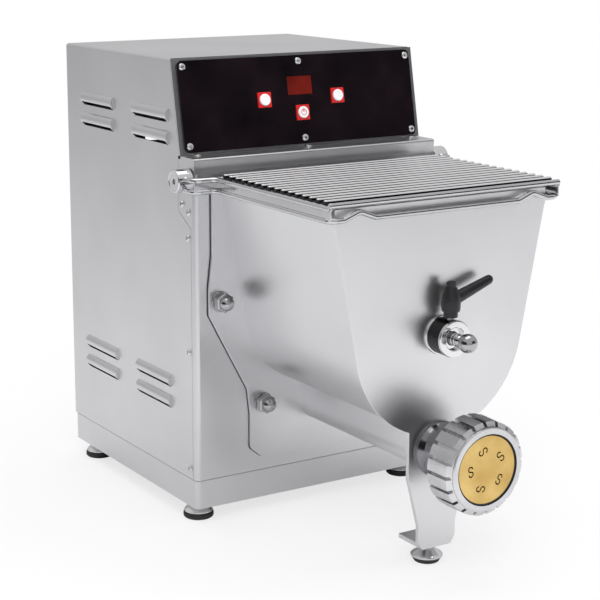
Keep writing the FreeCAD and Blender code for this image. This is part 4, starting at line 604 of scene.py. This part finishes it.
BALL_Y, BALL = -230, 8
pin_profile = [
    (-169, 5.6), (-169.6, 6), (-210.4, 6), (-211, 5.4), (-213.5, 5.4), (-214.1, 4.4), (-214.9, 4.4),
    (-215.5, 5.4), (-217, 5.4), (-217.6, 4.3), (-218.4, 4.3), (-219, 5), (-220.6, 4.6), (-221.8, 3.6)]
pin_profile += [(BALL_Y + BALL * cos(radians(a)), BALL * sin(radians(a))) for a in range(28, 180, 8)]
pin = lathed("pin", "y", paddle_axis, pin_profile, 56, 0.1, 1)
settle(pin, polish_painted_dark, "pin", "polished", "locking_pin")

LEVER_Y, ARM_Z, ARM_LONG, ARM_RISE, ARM_TIP, ARM_FLATTER = -206.78, 234, 45, radians(19), 4, 0.86
lever_axis, arm_root = (0, LEVER_Y, 0), (0, LEVER_Y, ARM_Z)
hub_profile = [
    (220.4, 3.1), (220.4, 5.7), (220.7, 5.9), (225, 5.9), (225.4, 7.4), (228, 7.9), (233, 8.2),
    (236.6, 7.9), (239.6, 7.1), (242.4, 6), (244.8, 5.1), (245.2, 4.7), (245.2, 4.1), (243, 4.1),
    (243, 3.1), (220.4, 3.1)]
cap_profile = [(242.6, 3.6), (242.6, 3.95), (249.6, 3.95), (250.2, 3.4), (250.3, 2.6), (249.9, 1.2)]
arm_profile = [(0, 5.8), (14, 5.2), (ARM_LONG - 5, 4.1)]
arm_profile += [(ARM_LONG - ARM_TIP + ARM_TIP * sin(radians(a)), ARM_TIP * cos(radians(a)))
                for a in range(0, 90, 15)]
hub = lathed("lever_hub", "z", lever_axis, hub_profile, 56, 0.25)
arm = turned("lever_arm", "x", arm_root, arm_profile, 40)
from_root = Matrix.Translation(Vector(arm_root) * MM)
lift = Matrix.Rotation(-ARM_RISE, 4, "Y") @ Matrix.Diagonal((1, ARM_FLATTER, 1, 1))
arm.data.transform(from_root @ lift @ from_root.inverted())
softened(arm, 0.1, 1)
settle(joined("lever", [hub, arm]), nylon_black, "lever", "lever", "clamp_lever")
cap = lathed("lever_button", "z", lever_axis, cap_profile, 40, 0.2)
settle(cap, nylon_black, "lever", "lever", "lever_cap")

# Lid: bent rods, a strip and a lug on each side, cross wires and hubs

ARM_X, ROD, BEND = 138.5, 2.4, 6.9
WAVE_X, WAVE_HALF, WAVE_Z = 88, 15, 315.3
FRONT_ROD_Z, FRONT_ROD_X, SHEET_HALF = 321.9, 117, 0.75


def side_route(side, height):
    """One side's path, from the hinge round to the lid's front."""
    return [(side * ARM_X, HINGE_Y, height), (side * ARM_X, LID_REAR_Y, height),
            (side * LID_SIDE_X, LID_REAR_Y, height), (side * LID_SIDE_X, LID_FRONT_Y, height)]


wave = []
for middle in (-WAVE_X, WAVE_X):
    wave += [(middle - WAVE_HALF, LID_FRONT_Y, ROD_LOW_Z), (middle, LID_FRONT_Y, WAVE_Z),
             (middle + WAVE_HALF, LID_FRONT_Y, ROD_LOW_Z)]
lower_route = side_route(-1, ROD_LOW_Z) + wave + side_route(1, ROD_LOW_Z)[::-1]
rear_route = [(-LID_SIDE_X, LID_REAR_Y, ROD_HIGH_Z), (LID_SIDE_X, LID_REAR_Y, ROD_HIGH_Z)]
front_profile = [(-FRONT_ROD_X, 1.7), (0.6 - FRONT_ROD_X, ROD), (FRONT_ROD_X - 0.6, ROD), (FRONT_ROD_X, 1.7)]
frame_pieces = [rod("lower_rod", lower_route, ROD, BEND),
                rod("left_rod", side_route(-1, ROD_HIGH_Z), ROD, BEND),
                rod("right_rod", side_route(1, ROD_HIGH_Z), ROD, BEND),
                rod("rear_rod", rear_route, ROD),
                lathed("front_rod", "x", (0, LID_FRONT_Y, FRONT_ROD_Z), front_profile, 20, 0.2, 1)]
for side in (-1, 1):
    low_x, high_x = sorted((side * (LID_SIDE_X - SHEET_HALF), side * (LID_SIDE_X + SHEET_HALF)))
    strip = block("strip", (low_x, LID_FRONT_Y - 1, ROD_LOW_Z), (high_x, LID_REAR_Y, ROD_HIGH_Z))
    frame_pieces.append(softened(strip, 0.3))
    low_x, high_x = sorted((side * LID_SIDE_X, side * ARM_X))
    lug = block("lug", (low_x, LID_REAR_Y - SHEET_HALF, ROD_LOW_Z),
                (high_x, LID_REAR_Y + SHEET_HALF, ROD_HIGH_Z))
    frame_pieces.append(softened(lug, 0.3))
settle(joined("lid_rods", frame_pieces), lid_polish, "lid", "polished", "lid_frame")

WIRES, FIRST_WIRE_Y, LAST_WIRE_Y, WIRE_Z, WIRE, WIRE_X = 16, -36.5, -192, 323.3, 2.3, 115.25
wire_pitch = (LAST_WIRE_Y - FIRST_WIRE_Y) / (WIRES - 1)
wire_profile = [(-WIRE_X, 1.7), (0.45 - WIRE_X, WIRE), (WIRE_X - 0.45, WIRE), (WIRE_X, 1.7)]
first_wire = lathed("wire", "x", (0, FIRST_WIRE_Y, WIRE_Z), wire_profile, 20, 0.15, 1)
wires = [copied(first_wire, "wire_%02d" % number, (0, wire_pitch * number, 0)) for number in range(WIRES)]
bpy.data.objects.remove(first_wire)
settle(joined("lid_wire_grid", wires), wire_painted_shade, "lid", "polished", "lid_wires")

HUB_PROFILE = [(119, 4), (131, 4), (131, 10), (131.6, 10.5), (145.2, 10.5), (146, 9.8), (146, 8.4),
               (145.5, 8), (145.5, 3.2), (145.2, 2.4), (142.2, 2.2), (142, 0.4)]
hubs = [lathed("hub", "x", (0, HINGE_Y, HINGE_Z), [(side * place, out) for place, out in HUB_PROFILE], 56, 0.15)
        for side in (-1, 1)]
settle(joined("hinge_hubs", hubs), polished, "lid", "polished", "lid_hubs")

# Feet: a bell-shaped cup on a rubber pad

CUP_PROFILE = [(6, 12.6), (6.3, 13.1), (7.2, 13.1), (9, 11.6), (11.4, 8.8), (13.4, 7), (15.2, 6.2),
               (16, 6.2), (16.02, 4), (28, 4)]
PAD_PROFILE = [(0, 11.6), (0.4, 12.6), (1.2, 13.6), (2, 14), (4.6, 14), (5.4, 13.7), (6, 12.8)]
FOOT_SPOTS = [(x, y) for x in (-115, 115) for y in (14, 221)]
cup = lathed("cup", "z", (0, 0, 0), CUP_PROFILE, 48, 0.12)
pad = lathed("pad", "z", (0, 0, 0), PAD_PROFILE, 48, 0.2)
cups = [copied(cup, "cup_%d" % number, (x, y, 0)) for number, (x, y) in enumerate(FOOT_SPOTS)]
pads = [copied(pad, "pad_%d" % number, (x, y, 0)) for number, (x, y) in enumerate(FOOT_SPOTS)]
bpy.data.objects.remove(cup)
bpy.data.objects.remove(pad)
settle(joined("foot_bells", cups), polished, "machine", "polished", "foot_cups")
settle(joined("foot_rubbers", pads), rubber_black, "machine", "rubber", "foot_pads")

toe_axis = (0, -181.5, 0)
TOE_PAD_PROFILE = [(0, 10.2), (0.5, 10.9), (4.2, 13.1), (4.6, 12.8)]
TOE_CUP_PROFILE = [(4.6, 13.2), (4.9, 13.8), (6.2, 13.9), (7, 13.3), (8.6, 10.6), (10.2, 8.1),
                   (11.6, 6.4), (12.3, 5.8), (12.4, 4), (24, 4)]
TOE_NUT_PROFILE = [(12.3, 6.6), (12.7, 7.2), (15.8, 7.2), (16.2, 6.6)]
toe_pad = lathed("toe_rubber", "z", toe_axis, TOE_PAD_PROFILE, 48, 0.2)
settle(toe_pad, rubber_black, "toe_foot", "rubber", "toe_foot_pad")
toe_cup = lathed("toe_cup", "z", toe_axis, TOE_CUP_PROFILE, 48, 0.12)
toe_nut = lathed("toe_nut", "z", toe_axis, TOE_NUT_PROFILE, 6, 0.25)
settle(joined("toe_bell", [toe_cup, toe_nut]), polished, "toe_foot", "polished", "toe_foot_cup")

# Console: red bezels with white caps, the middle one marked with a plain start ring

BUTTON_X, SIDE_BUTTON_UP, CENTRE_BUTTON_UP = 39.6, 44, 30.5
BEZEL_HALF, BEZEL_OUT, BEZEL_BORE = 6.95, 3.2, 5.5
CAP_PROFILE = [(3, 2.7), (0.3, 2.7), (0.3, 5.38), (-4, 5.4), (-4.5, 5.1), (-4.7, 4.5), (-4.45, 3.4),
               (-4.3, 1.5)]
bezels = []
for name, body, x, up in (("button_left", "left_button", -BUTTON_X, SIDE_BUTTON_UP),
                          ("button_right", "right_button", BUTTON_X, SIDE_BUTTON_UP),
                          ("button_centre", "centre_button", 0, CENTRE_BUTTON_UP)):
    bezel = block(name + "_bezel", (x - BEZEL_HALF, -BEZEL_OUT, up - BEZEL_HALF),
                  (x + BEZEL_HALF, 0, up + BEZEL_HALF))
    carved(bezel, turned("bore", "y", (x, 0, up), [(-5, BEZEL_BORE), (2, BEZEL_BORE)], 40))
    softened(bezel, 0.35, 2, 50)
    bezel.data.transform(CONSOLE)
    bezels.append(bezel)
    button = lathed(name + "_cap", "y", (x, 0, up), CAP_PROFILE, 48, 0.1, 1)
    button.data.transform(CONSOLE)
    settle(button, button_white, body, "button", name)
settle(joined("bezel_frames", bezels), bezel_red, "machine", "bezel", "button_bezels")

MARK_BACK_Y, MARK_FRONT_Y, MARK_BAR_HALF, MARK_BAR_LONG = -4.3, -4.56, 0.35, 3.4
ring_mark = sleeve("ring_mark", (0, 0, CENTRE_BUTTON_UP), (MARK_BACK_Y, MARK_FRONT_Y), (2.3, 2.9), 40)
bar_mark = block("bar_mark", (-MARK_BAR_HALF, MARK_FRONT_Y, CENTRE_BUTTON_UP),
                 (MARK_BAR_HALF, MARK_BACK_Y, CENTRE_BUTTON_UP + MARK_BAR_LONG))
mark = joined("start_mark", [ring_mark, softened(bar_mark, 0.05, 1)])
mark.data.transform(CONSOLE)
settle(mark, bezel_red, "centre_button", "bezel")

# Cord gland at the rear

gland_axis = (85, 0, 75)
GLAND_NUT_PROFILE = [(245.1, 9.2), (245.1, 9.9), (249.6, 9.9), (250, 9.4)]
LOCK_NUT_PROFILE = [(238.6, 9.3), (238.6, 9.9), (243.4, 9.9), (243.4, 9.3)]
GLAND_DOME_PROFILE = [
    (235.5, 4.5), (235.5, 7.4), (250, 7.4), (250, 8.8), (251, 9), (256, 8.4), (259, 7.4), (260, 6.6),
    (260, 4.8), (259.6, 4.5), (235.5, 4.5)]
gland_pieces = [lathed("gland_nut", "y", gland_axis, GLAND_NUT_PROFILE, 6, 0.3),
                lathed("gland_dome", "y", gland_axis, GLAND_DOME_PROFILE, 48, 0.2),
                lathed("lock_nut", "y", gland_axis, LOCK_NUT_PROFILE, 6, 0.3)]
settle(joined("gland", gland_pieces), mould_black, "machine", "black_plastic", "cord_gland")

# Camera, floor and light

camera = bpy.data.objects.new("camera", bpy.data.cameras.new("camera"))
bpy.context.scene.collection.objects.link(camera)
camera.location = (-0.81064, -1.23446, 0.53868)
camera.rotation_euler = (radians(90 - 12.403), 0, radians(-31.685))
camera.data.lens = 97.96
camera.data.sensor_width = 36
camera.data.shift_x = 0.0540
camera.data.shift_y = -0.0359
bpy.context.scene.camera = camera
bpy.context.scene.view_settings.view_transform = "Standard"

put_down()
bpy.ops.mesh.primitive_plane_add(size=30, location=(0, 0, 0))
floor = bpy.context.object
floor.name = "floor"
material, nodes, links, shader = sheet_of_nodes("pale floor")
shader.inputs["Base Color"].default_value = (0.82, 0.82, 0.83, 1)
shader.inputs["Roughness"].default_value = 0.8
glow = nodes.new("ShaderNodeEmission")
glow.inputs["Strength"].default_value = 1
rays = nodes.new("ShaderNodeLightPath")
place = nodes.new("ShaderNodeTexCoord")
reach = nodes.new("ShaderNodeVectorMath")
reach.operation = "LENGTH"
links.new(place.outputs["Object"], reach.inputs[0])
fade = spread(nodes, links, reach.outputs["Value"], 0.72, 1.0, 0.25, 0.75)
share = nodes.new("ShaderNodeMath")
share.operation = "MULTIPLY"
links.new(rays.outputs["Is Camera Ray"], share.inputs[0])
links.new(fade, share.inputs[1])
blend = nodes.new("ShaderNodeMixShader")
links.new(share.outputs["Value"], blend.inputs["Fac"])
links.new(shader.outputs["BSDF"], blend.inputs[1])
links.new(glow.outputs["Emission"], blend.inputs[2])
links.new(blend.outputs["Shader"], nodes["Material Output"].inputs["Surface"])
dress(floor, material)


def flag(name, place, turn, width, height):
    """A dark card out of view, which gives polished metal something dark to show."""
    put_down()
    bpy.ops.mesh.primitive_plane_add(size=1, location=place, rotation=(pi / 2, 0, turn))
    card = bpy.context.object
    card.scale = (width, height, 1)
    card.name = name
    set_in_place(card)
    material, nodes, links, shader = sheet_of_nodes(name)
    shader.inputs["Base Color"].default_value = (0.02, 0.02, 0.02, 1)
    shader.inputs["Roughness"].default_value = 1
    dress(card, material)
    card.visible_camera = card.visible_diffuse = card.visible_shadow = card.visible_transmission = False


flag("left flag", (-2.0, -0.6, 0.72), pi / 2, 2.4, 1.3)
flag("right flag", (1.35, -2.1, 0.95), radians(33), 1.9, 1.3)

world = bpy.data.worlds.new("studio")
bpy.context.scene.world = world
world.use_nodes = True
nodes, links = world.node_tree.nodes, world.node_tree.links
nodes.clear()
out = nodes.new("ShaderNodeOutputWorld")
sky = nodes.new("ShaderNodeBackground")
seen = nodes.new("ShaderNodeBackground")
seen.inputs["Color"].default_value = (1, 1, 1, 1)
direction = nodes.new("ShaderNodeTexCoord")
split = nodes.new("ShaderNodeSeparateXYZ")
ramp = nodes.new("ShaderNodeValToRGB")
for place, amount in ((0.0, 0.5), (0.49, 0.5), (0.58, 0.8), (0.75, 1.0), (1.0, 0.75)):
    if place in (0.0, 1.0):
        stop = ramp.color_ramp.elements[int(place)]
    else:
        stop = ramp.color_ramp.elements.new(place)
    stop.color = (amount, amount, amount * 1.01, 1)
lift = nodes.new("ShaderNodeMapRange")
lift.inputs["From Min"].default_value = -1
links.new(direction.outputs["Generated"], split.inputs["Vector"])
links.new(split.outputs["Z"], lift.inputs["Value"])
links.new(lift.outputs["Result"], ramp.inputs["Fac"])
links.new(ramp.outputs["Color"], sky.inputs["Color"])
sky.inputs["Strength"].default_value = 0.7
rays = nodes.new("ShaderNodeLightPath")
blend = nodes.new("ShaderNodeMixShader")
links.new(rays.outputs["Is Camera Ray"], blend.inputs["Fac"])
links.new(sky.outputs["Background"], blend.inputs[1])
links.new(seen.outputs["Background"], blend.inputs[2])
links.new(blend.outputs["Shader"], out.inputs["Surface"])


def lamp(name, place, aim, width, height, power):
    light = bpy.data.lights.new(name, "AREA")
    light.shape = "RECTANGLE"
    light.size, light.size_y, light.energy = width, height, power
    stand = bpy.data.objects.new(name, light)
    bpy.context.scene.collection.objects.link(stand)
    stand.location = place
    stand.rotation_euler = (Vector(aim) - Vector(place)).to_track_quat("-Z", "Y").to_euler()
    stand.visible_glossy = name == "overhead"
    return stand


lamp("key", (-1.0, -1.6, 1.7), (0, -0.05, 0.2), 1.2, 1.2, 26)
lamp("fill", (1.8, -1.2, 1.0), (0, -0.05, 0.2), 1.4, 1.4, 14)
lamp("overhead", (0, 0.2, 2.0), (0, 0, 0.2), 1.6, 1.6, 16)
